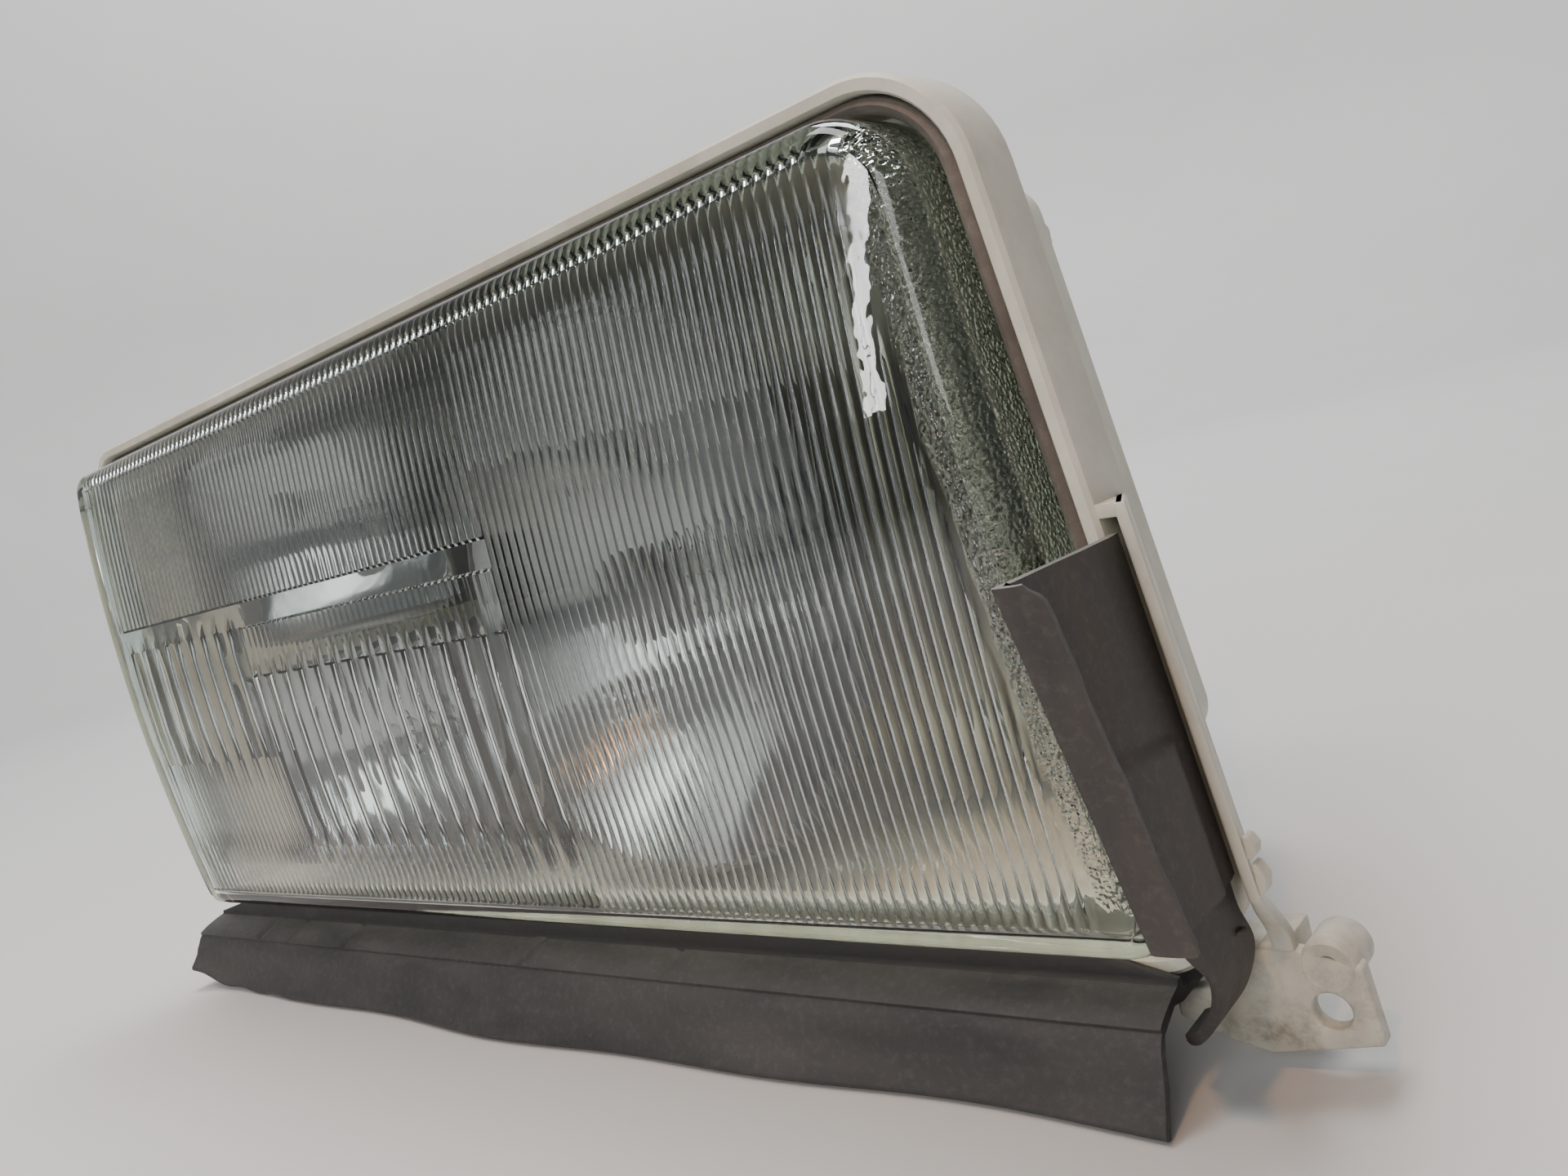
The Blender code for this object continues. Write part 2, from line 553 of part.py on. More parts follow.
def make_lamp_unit(beam, lamp):
    centre = lamp["centre"]
    bowl = make_reflector(beam + "_reflector", centre, lamp["reach"], lamp["hole"], lamp["collar"],
                          lamp["sides"], lamp["hinge"], lamp["leg"] - 0.0040)
    for number, (dx, dz) in enumerate(screw_places[beam], 1):
        spot = (centre[0] + dx, centre[1] + dz)
        start = bowl_depth(hypot(dx, dz)) + REFLECTOR_SHEET
        add(bowl, lathe("screw_boss", spot, [(0.0040, start - 0.0012), (0.0040, FRAME_FRONT - GAP)], 12))
        cut(bowl, lathe("screw_bore", spot, [(0.0016, start + 0.002), (0.0016, FRAME_FRONT + 0.001)], 12))
        back = FRAME_FRONT + FRAME_SHEET + GAP
        screw = lathe(f"{beam}_frame_screw_{number}", spot,
                      [(0.0013, start + 0.003), (0.0013, back), (0.0031, back), (0.0031, back + 0.0016),
                       (0.0022, back + 0.0024)], 8)
        finish(screw, spring_steel, aim_joint)
    if beam == "dipped":
        cut(bowl, lathe("parking_bore", PARKING, [(0.0054, 0.050), (0.0054, 0.080)], 16),
            lathe("shield_bore", SHIELD_FOOT, [(0.0018, 0.050), (0.0018, 0.095)], 12))
    finish(bowl, mirror_metal, aim_joint)

    flange_front = COLLAR_BACK + GAP
    flange_back = flange_front + 0.0022
    hole = lamp["hole"] - GAP
    base_side = [(hole, REFLECTOR_VERTEX + 0.002), (hole, flange_front),
                 (lamp["flange"], flange_front), (lamp["flange"], flange_back),
                 (lamp["cap"], flange_back), (lamp["cap"], flange_back + 0.006)]
    base = lathe(beam + "_bulb_base", centre, base_side, 28)
    spacing = 0.0062
    for k in range(lamp["blades"]):
        x = centre[0] + (k - (lamp["blades"] - 1) / 2) * spacing
        add(base, box("blade", (x - 0.0004, flange_back + 0.005, centre[1] - 0.004),
                      (x + 0.0004, flange_back + 0.0150, centre[1] + 0.004)))
    post_front = lamp["tip"] + 0.010
    for side in (-1, 1):
        x = centre[0] + side * 0.0022
        add(base, box("post", (x - 0.0004, post_front, centre[1] - 0.0004),
                      (x + 0.0004, REFLECTOR_VERTEX + 0.003, centre[1] + 0.0004)))
    add(base, box("filament", (centre[0] - 0.0024, post_front, centre[1] - 0.0006),
                  (centre[0] + 0.0024, post_front + 0.0012, centre[1] + 0.0006)))
    finish(base, bulb_metal, aim_joint)

    radius, wall, back = lamp["glass"], 0.0009, REFLECTOR_VERTEX + 0.002 - GAP
    tip = lamp["tip"]
    profile = [(radius, back)] + [(radius * cos(a), tip + radius - radius * sin(a))
                                  for a in (0.0, 0.45, 0.9, 1.3)]
    inner = radius - wall
    profile += [(inner * cos(a), tip + radius - inner * sin(a)) for a in (1.3, 0.9, 0.45, 0.0)]
    profile.append((inner, back))
    envelope = lathe(beam + "_bulb_glass", centre, profile, 14, "y", True)
    close_pole(envelope, centre)
    finish(envelope, bulb_clear_glass, aim_joint)

    axis_z = centre[1] + lamp["hinge"]
    bar_z = centre[1] - lamp["bar"]
    leg = lamp["leg"]
    corner = 0.002
    loop = []
    for sx, sz in ((-1, 1), (-1, -1), (1, -1), (1, 1)):
        cx = centre[0] + sx * (leg - corner)
        cz = (axis_z - corner) if sz > 0 else (bar_z + corner)
        first = {(-1, 1): 90, (-1, -1): 180, (1, -1): 270, (1, 1): 0}[(sx, sz)]
        for step in (0, 45, 90):
            a = radians(first + step)
            loop.append((cx + corner * cos(a), CLIP_Y, cz + corner * sin(a)))
    finish(wire(beam + "_bulb_clip", loop, CLIP_WIRE, True), spring_steel, (centre[0], CLIP_Y, axis_z))


def close_pole(envelope, centre):
    """The turned capsule has a small hole at its tip: cap its outer and inner skins."""
    data = bmesh.new()
    data.from_mesh(envelope.data)
    tip_radius = 0.0031
    tip = []
    for face in data.faces:
        away = [hypot(v.co.x - centre[0], v.co.z - centre[1]) for v in face.verts]
        if max(away) < tip_radius and len({round(r, 6) for r in away}) == 2:
            tip.append(face)
    bmesh.ops.delete(data, geom=tip, context="FACES_ONLY")
    edges = [e for e in data.edges if e.is_boundary]
    bmesh.ops.holes_fill(data, edges=edges, sides=0)
    bmesh.ops.recalc_face_normals(data, faces=data.faces)
    data.to_mesh(envelope.data)
    data.free()


def make_bulb_shield():
    """A cup in front of the dipped bulb on a bent stalk that passes through the bowl."""
    cup_radius, sheet = 0.0125, 0.0008
    front, back = 0.0335, 0.0440
    shoulder, dome = 0.003, 0.0008
    outside = [(cup_radius, back), (cup_radius, front + shoulder),
               (cup_radius - shoulder, front), (0.0006, front - dome)]
    inside = [(0.0006, front - dome + sheet), (cup_radius - shoulder - sheet, front + sheet),
              (cup_radius - sheet, front + shoulder + sheet), (cup_radius - sheet, back)]
    cup = lathe("dipped_bulb_shield", DIPPED_CENTRE, outside + inside, 24, "y", True)
    x, z = SHIELD_FOOT
    stalk = [(x, 0.0790, z), (x, 0.0600, z), (x, 0.0470, z + 0.0012),
             (x, 0.0420, z + 0.0045), (x, 0.0400, z + 0.0078)]
    add(cup, wire("stalk", stalk, 0.0011, False))
    finish(cup, shield_black, aim_joint)


def make_parking_bulb():
    holder = lathe("parking_bulb_holder", PARKING,
                   [(0.0051, 0.0585), (0.0051, 0.0885), (0.0040, 0.0900)], 16)
    finish(holder, black_plastic, aim_joint)
    radius = 0.0040
    profile = [(0.0022, 0.0582), (0.0034, 0.0560)]
    profile += [(radius * cos(a), 0.0450 - radius * sin(a)) for a in (0.0, 0.5, 1.0, 1.4)]
    finish(lathe("parking_bulb_glass", PARKING, profile, 16), bulb_clear_glass, aim_joint)


# aiming gear
def make_aim_frame():
    outline = [(-0.1770, 0.0380), (-0.1560, 0.0370), (-0.1250, 0.0560), (0.0780, 0.0560), (0.0980, 0.0380),
               (0.1310, 0.0380), (0.1310, 0.0560), (0.1225, 0.0640), (0.1200, 0.0780), (0.1200, 0.1420),
               (0.1245, 0.1710), (0.1245, 0.1880), (0.1050, 0.1880), (0.0860, 0.1660),
               (-0.1320, 0.1660), (-0.1400, 0.0740), (-0.1770, 0.0560)]
    back = FRAME_FRONT + FRAME_SHEET
    frame = slab("aim_frame", outline, FRAME_FRONT, back)
    past = (FRAME_FRONT - 0.002, back + 0.002)
    for lamp in lamps.values():
        cut(frame, lathe("collar_hole", lamp["centre"], [(lamp["collar"] + 0.0005, past[0]),
                                                         (lamp["collar"] + 0.0005, past[1])], 32))
    for beam, places in screw_places.items():
        cx, cz = lamps[beam]["centre"]
        for dx, dz in places:
            cut(frame, lathe("screw_hole", (cx + dx, cz + dz), [(0.0017, past[0]), (0.0017, past[1])], 12))
    for x, z in ((PIVOT_X, VERTICAL_Z), (HORIZONTAL_X, PIVOT_Z), PARKING):
        cut(frame, lathe("clear_hole", (x, z), [(0.0056, past[0]), (0.0056, past[1])], 16))
    for side in (-1, 1):
        x = PIVOT_X + side * 0.0110
        add(frame, box("frame_ear", (x - 0.0014, back - 0.001, PIVOT_Z - 0.0050),
                       (x + 0.0014, AIM_Y + 0.0050, PIVOT_Z + 0.0050)))
        cut(frame, lathe("trunnion_bore", (AIM_Y, PIVOT_Z),
                         [(0.0024, x - 0.003), (0.0024, x + 0.003)], 16, "x"))
    rib_back = back + 0.0040
    add(frame, box("frame_rib", (-0.1260, back - 0.001, 0.1130), (0.0200, rib_back, 0.1150)))
    for x in (-0.0330, 0.1100):
        add(frame, box("frame_rib", (x - 0.001, back - 0.001, 0.0600), (x + 0.001, rib_back, 0.1620)))
    finish(frame, frame_steel, aim_joint)


def make_pivot():
    centre = (PIVOT_X, PIVOT_Z)
    ball = 0.0050
    profile = [(ball * sin(a), AIM_Y - ball * cos(a)) for a in (0.2, 0.7, 1.2, 1.7, 2.2, 2.6)]
    profile += [(0.0026, 0.1060), (0.0026, 0.1335), (0.0070, 0.1335), (0.0070, REAR_WALL - WALL - GAP),
                (0.0027, REAR_WALL - WALL - GAP), (0.0027, 0.1480)]
    finish(lathe("pivot_ball_stud", centre, profile, 16), spring_steel)
    nut = lathe("pivot_stud_nut", centre, [(0.0055, REAR_WALL + GAP), (0.0055, REAR_WALL + 0.0050)], 6)
    cut(nut, lathe("nut_thread", centre, [(0.0031, REAR_WALL - 0.001), (0.0031, REAR_WALL + 0.006)], 16))
    finish(nut, spring_steel)
    cup = [(0.0080, 0.0886), (0.0080, 0.1030), (0.0056, 0.1030),
           (0.0056, 0.0914), (0.0006, 0.0914), (0.0006, 0.0886)]
    socket = lathe("pivot_socket", centre, cup, 20, "y", True)
    for side in (-1, 1):
        ends = sorted((PIVOT_X + side * 0.0068, PIVOT_X + side * 0.0128))
        add(socket, lathe("trunnion", (AIM_Y, PIVOT_Z), [(0.0020, ends[0]), (0.0020, ends[1])], 16, "x"))
    finish(socket, white_plastic, aim_joint)


def make_adjuster(name, x, z):
    centre = (x, z)
    joint = (x, AIM_Y, z)
    screw = lathe(name + "_adjuster_screw", centre,
                  [(0.0030, 0.0770), (SCREW_RADIUS, 0.0780), (SCREW_RADIUS, 0.1545)], 16)
    finish(screw, spring_steel, joint)
    bush = lathe(name + "_adjuster_bush", centre,
                 [(SCREW_RADIUS + GAP, 0.1330), (0.0080, 0.1330), (0.0080, REAR_WALL - WALL - GAP),
                  (0.0060, REAR_WALL - WALL - GAP), (0.0060, REAR_WALL + 0.0005),
                  (SCREW_RADIUS + GAP, REAR_WALL + 0.0005)], 18, "y", True)
    finish(bush, white_plastic)
    front, back = REAR_WALL + 0.0010, 0.1580
    knob_side = [(SCREW_RADIUS + GAP, front), (0.0066, front), (0.0080, front + 0.002),
                 (0.0080, back - 0.0015), (0.0068, back), (0.0010, back),
                 (0.0010, 0.1550), (SCREW_RADIUS + GAP, 0.1550)]
    knob = lathe(name + "_adjuster_knob", centre, knob_side, 18, "y", True)
    grips = 6
    for k in range(grips):
        a = 2 * pi * k / grips
        spot = (x + 0.0088 * cos(a), z + 0.0088 * sin(a))
        cut(knob, lathe("grip", spot, [(0.0017, front + 0.0025), (0.0017, back + 0.002)], 8))
    finish(knob, white_plastic, joint)
    start = FRAME_FRONT + FRAME_SHEET + GAP
    nut = box(name + "_adjuster_nut", (x - 0.0080, start, z - 0.0075),
              (x + 0.0080, start + 0.0150, z + 0.0075))
    cut(nut, lathe("nut_bore", centre, [(0.0049, start - 0.002), (0.0049, start + 0.018)], 20))
    finish(nut, white_plastic, aim_joint)


# rear cover
hinge_joint = (0.0, HINGE_Y, HINGE_Z)
flange_front = REAR_WALL + COVER_FLANGE
flange_back = flange_front + COVER_FLANGE
bail_out = 0.0055            # the bail lies this far outside the rear opening
bail_top = opening_corners[2][1] + bail_out + BAIL_WIRE


def make_rear_cover():
    outside = [opening_ring(0.008, flange_front), opening_ring(0.008, flange_back),
               opening_ring(0.003, flange_back), opening_ring(0.001, COVER_BACK - 0.005),
               opening_ring(-0.004, COVER_BACK)]
    inside = [opening_ring(-0.0055, COVER_BACK - 0.0025), opening_ring(-0.0015, COVER_BACK - 0.0065),
              opening_ring(-0.0005, flange_front)]
    data = bmesh.new()
    rows = [[data.verts.new(p) for p in ring] for ring in outside + inside]
    wall_pairs = [(i, i + 1) for i in range(len(rows) - 1) if i != len(outside) - 1] + [(len(rows) - 1, 0)]
    for a, b in wall_pairs:
        for i in range(len(rows[a])):
            j = (i + 1) % len(rows[a])
            data.faces.new((rows[a][i], rows[a][j], rows[b][j], rows[b][i]))
    data.faces.new(rows[len(outside) - 1])
    data.faces.new(rows[len(outside)])
    cover = to_object("rear_cover", data)
    hinge_line = (HINGE_Y, HINGE_Z)
    web = ((HINGE_Y - 0.0042, HINGE_Z + 0.0085), (HINGE_Y - 0.0018, HINGE_Z + 0.0085),
           (HINGE_Y + 0.0034, HINGE_Z + 0.0010), (HINGE_Y - 0.0034, HINGE_Z + 0.0010))
    for x in (opening_corners[0][0] + 0.013, opening_corners[1][0] - 0.017):
        far = x + 0.0105
        add(cover, loft("knuckle_web", [[(px, y, z) for y, z in web] for px in (x, far)], False))
        add(cover, lathe("knuckle", hinge_line, [(0.0040, x), (0.0040, far)], 16, "x"))
        cut(cover, lathe("knuckle_bore", hinge_line, [(0.0023, x - 0.001), (0.0023, far + 0.001)], 16, "x"))
    rib_low, rib_high = 0.078, 0.156
    for x in (-0.103, -0.055, -0.007, 0.041):
        add(cover, box("cover_rib", (x - 0.001, COVER_BACK - 0.001, rib_low),
                       (x + 0.001, COVER_BACK + 0.0022, rib_high)))
    finish(cover, black_plastic, hinge_joint)
    rings = [opening_ring(0.0020, REAR_WALL + GAP), opening_ring(0.0065, REAR_WALL + GAP),
             opening_ring(0.0065, flange_front - GAP), opening_ring(0.0020, flange_front - GAP)]
    finish(loft("rear_cover_gasket", rings, True), gasket_rubber, hinge_joint)


def make_bail():
    """A wire frame that lies on the cover's flange and turns on the hinge pins outboard of the lugs."""
    left, right = opening_corners[0][0] - bail_out, opening_corners[1][0] + bail_out
    top = opening_corners[2][1] + bail_out
    corner = 0.0175
    foot, bend = HINGE_Z + 0.003, top - corner
    points = [(left, HINGE_Y, foot)]
    for middle, angles in ((left + corner, (180, 150, 120, 90)), (right - corner, (90, 60, 30, 0))):
        for a in angles:
            points.append((middle + corner * cos(radians(a)), HINGE_Y, bend + corner * sin(radians(a))))
    points.append((right, HINGE_Y, foot))
    bail = wire("cover_bail", points, BAIL_WIRE, False)
    for x in (left, right):
        add(bail, lathe("eye", (HINGE_Y, HINGE_Z), [(0.0046, x - 0.0014), (0.0046, x + 0.0014)], 16, "x"))
        cut(bail, lathe("eye_bore", (HINGE_Y, HINGE_Z), [(0.0023, x - 0.003), (0.0023, x + 0.003)], 16, "x"))
    finish(bail, spring_steel, hinge_joint)
    pins = (("inner", left - 0.0030, left + 0.0295), ("outer", right - 0.0240, right + 0.0030))
    for side, low, high in pins:
        pin = lathe(f"hinge_pin_{side}", (HINGE_Y, HINGE_Z), [(0.0020, low), (0.0020, high)], 16, "x")
        finish(pin, spring_steel)


# small fittings on the rear wall
def make_breather():
    side = [(0.0034, 0.1340), (0.0034, REAR_WALL + GAP), (0.0075, REAR_WALL + GAP),
            (0.0075, 0.1480), (0.0060, 0.1500)]
    cap = lathe("breather_cap", BREATHER, side, 20)
    finish(cap, black_plastic)


def make_connector():
    x, z = CONNECTOR
    socket = box("connector_socket", (x - 0.0087, 0.1290, z - 0.0217), (x + 0.0087, 0.1570, z + 0.0217))
    add(socket, box("flange", (x - 0.0105, REAR_WALL + GAP, z - 0.0240),
                    (x + 0.0105, REAR_WALL + 0.0020, z + 0.0240)))
    cut(socket, box("well", (x - 0.0069, 0.1400, z - 0.0199), (x + 0.0069, 0.1600, z + 0.0199)))
    finish(socket, black_plastic)
    pins = box("connector_terminals", (x - 0.0065, 0.1403, z - 0.0195), (x + 0.0065, 0.1420, z + 0.0195))
    for column in (-1, 1):
        for row in range(4):
            px, pz = x + column * 0.0032, z + (row - 1.5) * 0.0090
            add(pins, box("blade", (px - 0.0004, 0.1415, pz - 0.0014), (px + 0.0004, 0.1490, pz + 0.0014)))
    finish(pins, terminal_brass)


make_lens()
make_gasket()
make_housing()
make_side_seal()
make_skirt_seal()
for beam_name, lamp_sizes in lamps.items():
    make_lamp_unit(beam_name, lamp_sizes)
make_bulb_shield()
make_parking_bulb()
make_aim_frame()
make_pivot()
make_adjuster("vertical", PIVOT_X, VERTICAL_Z)
make_adjuster("horizontal", HORIZONTAL_X, PIVOT_Z)
make_rear_cover()
make_bail()
make_breather()
make_connector()

bpy.context.view_layer.update()
corners = [piece.matrix_world @ Vector(corner) for piece in root.children for corner in piece.bound_box]
for side in (0, 1):
    reach = [corner[side] for corner in corners]
    root.location[side] = -(min(reach) + max(reach)) / 2
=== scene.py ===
# Looks for a rectangular car headlight: fluted glass, mirror bowls, cream housing, rubber seals.
from math import cos, hypot, pi, radians, sin

import bmesh
import bpy
import numpy as np
from mathutils import Matrix, Vector


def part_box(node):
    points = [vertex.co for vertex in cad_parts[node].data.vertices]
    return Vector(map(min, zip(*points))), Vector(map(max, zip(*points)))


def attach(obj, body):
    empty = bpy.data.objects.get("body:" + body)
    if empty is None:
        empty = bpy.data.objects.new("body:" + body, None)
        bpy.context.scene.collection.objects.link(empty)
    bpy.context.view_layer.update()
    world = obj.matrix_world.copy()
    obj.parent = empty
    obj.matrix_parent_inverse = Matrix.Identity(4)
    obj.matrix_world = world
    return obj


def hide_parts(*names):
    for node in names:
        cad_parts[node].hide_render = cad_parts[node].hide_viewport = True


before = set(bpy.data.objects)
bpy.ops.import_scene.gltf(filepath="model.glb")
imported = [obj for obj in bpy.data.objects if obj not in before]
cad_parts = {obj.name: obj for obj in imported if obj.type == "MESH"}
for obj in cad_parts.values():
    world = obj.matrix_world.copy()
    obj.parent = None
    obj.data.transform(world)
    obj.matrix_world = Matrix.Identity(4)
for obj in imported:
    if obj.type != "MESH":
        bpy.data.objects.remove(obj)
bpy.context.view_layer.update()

# The lamp is drawn in its own frame: x to the outer end, y to the rear, x = 0 midway along the
# glass, y = 0 at the edge of its face. A finished piece is moved by this much.
bulbLow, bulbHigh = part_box("dipped_bulb_base")
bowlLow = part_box("dipped_reflector")[0]
lampOrigin = Vector(((bulbLow[0] + bulbHigh[0]) / 2 - 0.055, bowlLow[1] - 0.029, 0.0))

glass = {
    "bottom": 0.030, "height": 0.165, "halfWidth": 0.190, "outerSlant": 0.109, "innerSlant": 0.048,
    "bulge": 0.0054, "thick": 0.0035, "flangeBack": 0.0242, "radii": (0.006, 0.010, 0.018, 0.008),
    "fluteWidth": 0.0031, "fluteDepth": 0.00042, "wideDepth": 0.00105, "divider": 0.035,
    "blockEdge": -0.100,
    "border": 0.0062, "grainWidth": 0.0135,
}


def report(words):
    print("headlight:", words, flush=True)


# materials
class NodePad:
    # A short way to add nodes to a material and join them
    def __init__(self, name):
        self.material = bpy.data.materials.new(name)
        self.material.use_nodes = True
        self.nodes = self.material.node_tree.nodes
        self.links = self.material.node_tree.links
        self.shader = self.nodes["Principled BSDF"]
        self.place = self.nodes.new("ShaderNodeTexCoord").outputs["Object"]

    def set(self, **values):
        for socket, value in values.items():
            self.shader.inputs[socket.replace("_", " ")].default_value = value

    def join(self, start, end):
        self.links.new(start, end)

    def noise(self, scale, detail=4.0, roughness=0.55, stretch=None):
        node = self.nodes.new("ShaderNodeTexNoise")
        node.inputs["Scale"].default_value = scale
        node.inputs["Detail"].default_value = detail
        node.inputs["Roughness"].default_value = roughness
        self.join(self.stretched(stretch), node.inputs["Vector"])
        return node.outputs["Fac"]

    def stretched(self, stretch):
        if stretch is None:
            return self.place
        node = self.nodes.new("ShaderNodeMapping")
        node.inputs["Scale"].default_value = stretch
        self.join(self.place, node.inputs["Vector"])
        return node.outputs["Vector"]

    def ramp(self, source, low, high, start=0.0, end=1.0):
        node = self.nodes.new("ShaderNodeMapRange")
        node.inputs["From Min"].default_value = start
        node.inputs["From Max"].default_value = end
        node.inputs["To Min"].default_value = low
        node.inputs["To Max"].default_value = high
        self.join(source, node.inputs["Value"])
        return node.outputs["Result"]

    def maths(self, operation, first, second):
        node = self.nodes.new("ShaderNodeMath")
        node.operation = operation
        for socket, value in zip(node.inputs, (first, second)):
            if isinstance(value, (int, float)):
                socket.default_value = value
            else:
                self.join(value, socket)
        return node.outputs[0]

    def mix(self, share, first, second):
        node = self.nodes.new("ShaderNodeMix")
        node.data_type = "RGBA"
        self.join(share, node.inputs["Factor"])
        for socket, value in ((node.inputs[6], first), (node.inputs[7], second)):
            if isinstance(value, tuple):
                socket.default_value = (*value, 1.0)
            else:
                self.join(value, socket)
        return node.outputs[2]

    def height(self, axis):
        node = self.nodes.new("ShaderNodeSeparateXYZ")
        self.join(self.place, node.inputs[0])
        return node.outputs[axis]

    def bump(self, source, distance, strength=1.0):
        node = self.nodes.new("ShaderNodeBump")
        node.inputs["Distance"].default_value = distance
        node.inputs["Strength"].default_value = strength
        self.join(source, node.inputs["Height"])
        self.join(node.outputs["Normal"], self.shader.inputs["Normal"])
        return node


def creamPlastic():
    look = {"clean": (0.70, 0.685, 0.60), "aged": (0.56, 0.535, 0.44),
            "dirt": (0.135, 0.115, 0.088), "dirtTop": 0.040}
    pad = NodePad("creamPlastic")
    tone = pad.mix(pad.ramp(pad.noise(22.0, 5.0), 0.0, 1.0, 0.35, 0.7), look["clean"], look["aged"])
    low = pad.ramp(pad.height(2), 1.0, 0.0, 0.0, look["dirtTop"])
    specks = pad.ramp(pad.noise(160.0, 6.0, 0.7), 0.0, 1.0, 0.46, 0.66)
    smears = pad.ramp(pad.noise(34.0, 4.0, 0.6, (1.0, 1.0, 0.35)), 0.0, 1.0, 0.42, 0.68)
    dirt = pad.maths("MULTIPLY", pad.maths("ADD", pad.maths("MULTIPLY", low, 0.9), 0.22),
                     pad.maths("ADD", pad.maths("MULTIPLY", specks, 0.45),
                               pad.maths("MULTIPLY", smears, 0.75)))
    pad.join(pad.mix(dirt, tone, look["dirt"]), pad.shader.inputs["Base Color"])
    pad.join(pad.ramp(pad.noise(60.0), 0.42, 0.66, 0.3, 0.7), pad.shader.inputs["Roughness"])
    pad.bump(pad.noise(420.0, 3.0), 0.00012, 0.6)
    return pad.material


def flutedGlass():
    look = {"tint": (0.90, 0.955, 0.93), "deep": (0.60, 0.69, 0.63), "grainScale": 1150.0}
    pad = NodePad("flutedGlass")
    pad.set(Roughness=0.015, IOR=1.5, Transmission_Weight=1.0)
    wall = pad.nodes.new("ShaderNodeAttribute")
    wall.attribute_name = "deepGlass"
    pad.join(pad.mix(wall.outputs["Fac"], look["tint"], look["deep"]),
             pad.shader.inputs["Base Color"])
    mask = pad.nodes.new("ShaderNodeAttribute")
    mask.attribute_name = "grain"
    pebble = pad.nodes.new("ShaderNodeTexVoronoi")
    pebble.inputs["Scale"].default_value = look["grainScale"]
    pebble.feature = "SMOOTH_F1"
    pad.join(pad.place, pebble.inputs["Vector"])
    grain = pad.maths("MULTIPLY", pebble.outputs["Distance"], mask.outputs["Fac"])
    faint = pad.maths("MULTIPLY", pad.noise(120.0, 2.0), 0.06)
    pad.bump(pad.maths("ADD", grain, faint), 0.0006, 1.0)
    dust = pad.ramp(pad.noise(70.0, 6.0, 0.65), 0.008, 0.10, 0.5, 0.8)
    pad.join(dust, pad.shader.inputs["Roughness"])
    clear = pad.nodes.new("ShaderNodeBsdfTransparent")
    clear.inputs["Color"].default_value = (0.95, 0.97, 0.955, 1.0)
    path = pad.nodes.new("ShaderNodeLightPath")
    blend = pad.nodes.new("ShaderNodeMixShader")
    pad.join(path.outputs["Is Shadow Ray"], blend.inputs["Fac"])
    pad.join(pad.shader.outputs["BSDF"], blend.inputs[1])
    pad.join(clear.outputs["BSDF"], blend.inputs[2])
    pad.join(blend.outputs["Shader"], pad.nodes["Material Output"].inputs["Surface"])
    return pad.material


def bulbGlass():
    pad = NodePad("bulbGlass")
    pad.set(Base_Color=(0.97, 0.97, 0.97, 1.0), Roughness=0.01, IOR=1.46, Transmission_Weight=1.0)
    pad.bump(pad.noise(90.0, 2.0), 0.0002, 0.1)
    return pad.material


def mirrorCoat():
    pad = NodePad("mirrorCoat")
    pad.set(Metallic=1.0)
    haze = pad.ramp(pad.noise(30.0, 5.0), 0.0, 1.0, 0.35, 0.75)
    pad.join(pad.mix(haze, (0.40, 0.395, 0.40), (0.29, 0.285, 0.29)),
             pad.shader.inputs["Base Color"])
    pad.join(pad.ramp(pad.noise(45.0, 6.0, 0.6), 0.05, 0.16, 0.35, 0.75),
             pad.shader.inputs["Roughness"])
    pad.bump(pad.noise(55.0, 2.0), 0.0002, 0.25)
    return pad.material


# Dark paint for the bowl backs, clip lugs and screw bosses; on each bowl's front rim lip it is
# painted shade for the dark ring round the reflector
def darkPaintAndRimShade():
    pad = NodePad("bowlBackPaintAndRimShade")
    tone = pad.mix(pad.noise(60.0), (0.035, 0.034, 0.032), (0.075, 0.072, 0.068))
    pad.join(tone, pad.shader.inputs["Base Color"])
    pad.join(pad.ramp(pad.noise(120.0), 0.4, 0.6), pad.shader.inputs["Roughness"])
    pad.bump(pad.noise(500.0), 0.0001, 0.5)
    return pad.material


def rubber(name, base, dust, dustAmount, stretch=None, grainDepth=0.00035):
    pad = NodePad(name)
    patches = pad.ramp(pad.noise(38.0, 6.0, 0.62, stretch), 0.0, 1.0, 0.38, 0.72)
    specks = pad.ramp(pad.noise(520.0, 4.0, 0.7), 0.0, 1.0, 0.5, 0.72)
    share = pad.maths("MULTIPLY", pad.maths("ADD", patches, pad.maths("MULTIPLY", specks, 0.5)),
                      dustAmount)
    pad.join(pad.mix(share, base, dust), pad.shader.inputs["Base Color"])
    pad.join(pad.ramp(patches, 0.48, 0.85), pad.shader.inputs["Roughness"])
    wear = pad.maths("ADD", pad.noise(300.0, 5.0, 0.65),
                     pad.maths("MULTIPLY", pad.noise(70.0, 3.0, 0.5, stretch), 2.0))
    pad.bump(wear, grainDepth, 0.55)
    return pad.material


def metal(name, base, second, roughLow, roughHigh, scale=80.0, stretch=None, metallic=1.0):
    pad = NodePad(name)
    pad.set(Metallic=metallic)
    patches = pad.ramp(pad.noise(scale, 5.0, 0.6, stretch), 0.0, 1.0, 0.35, 0.7)
    pad.join(pad.mix(patches, base, second), pad.shader.inputs["Base Color"])
    pad.join(pad.ramp(patches, roughLow, roughHigh), pad.shader.inputs["Roughness"])
    pad.bump(pad.noise(scale * 6, 3.0, 0.5, stretch), 0.00006, 0.5)
    return pad.material


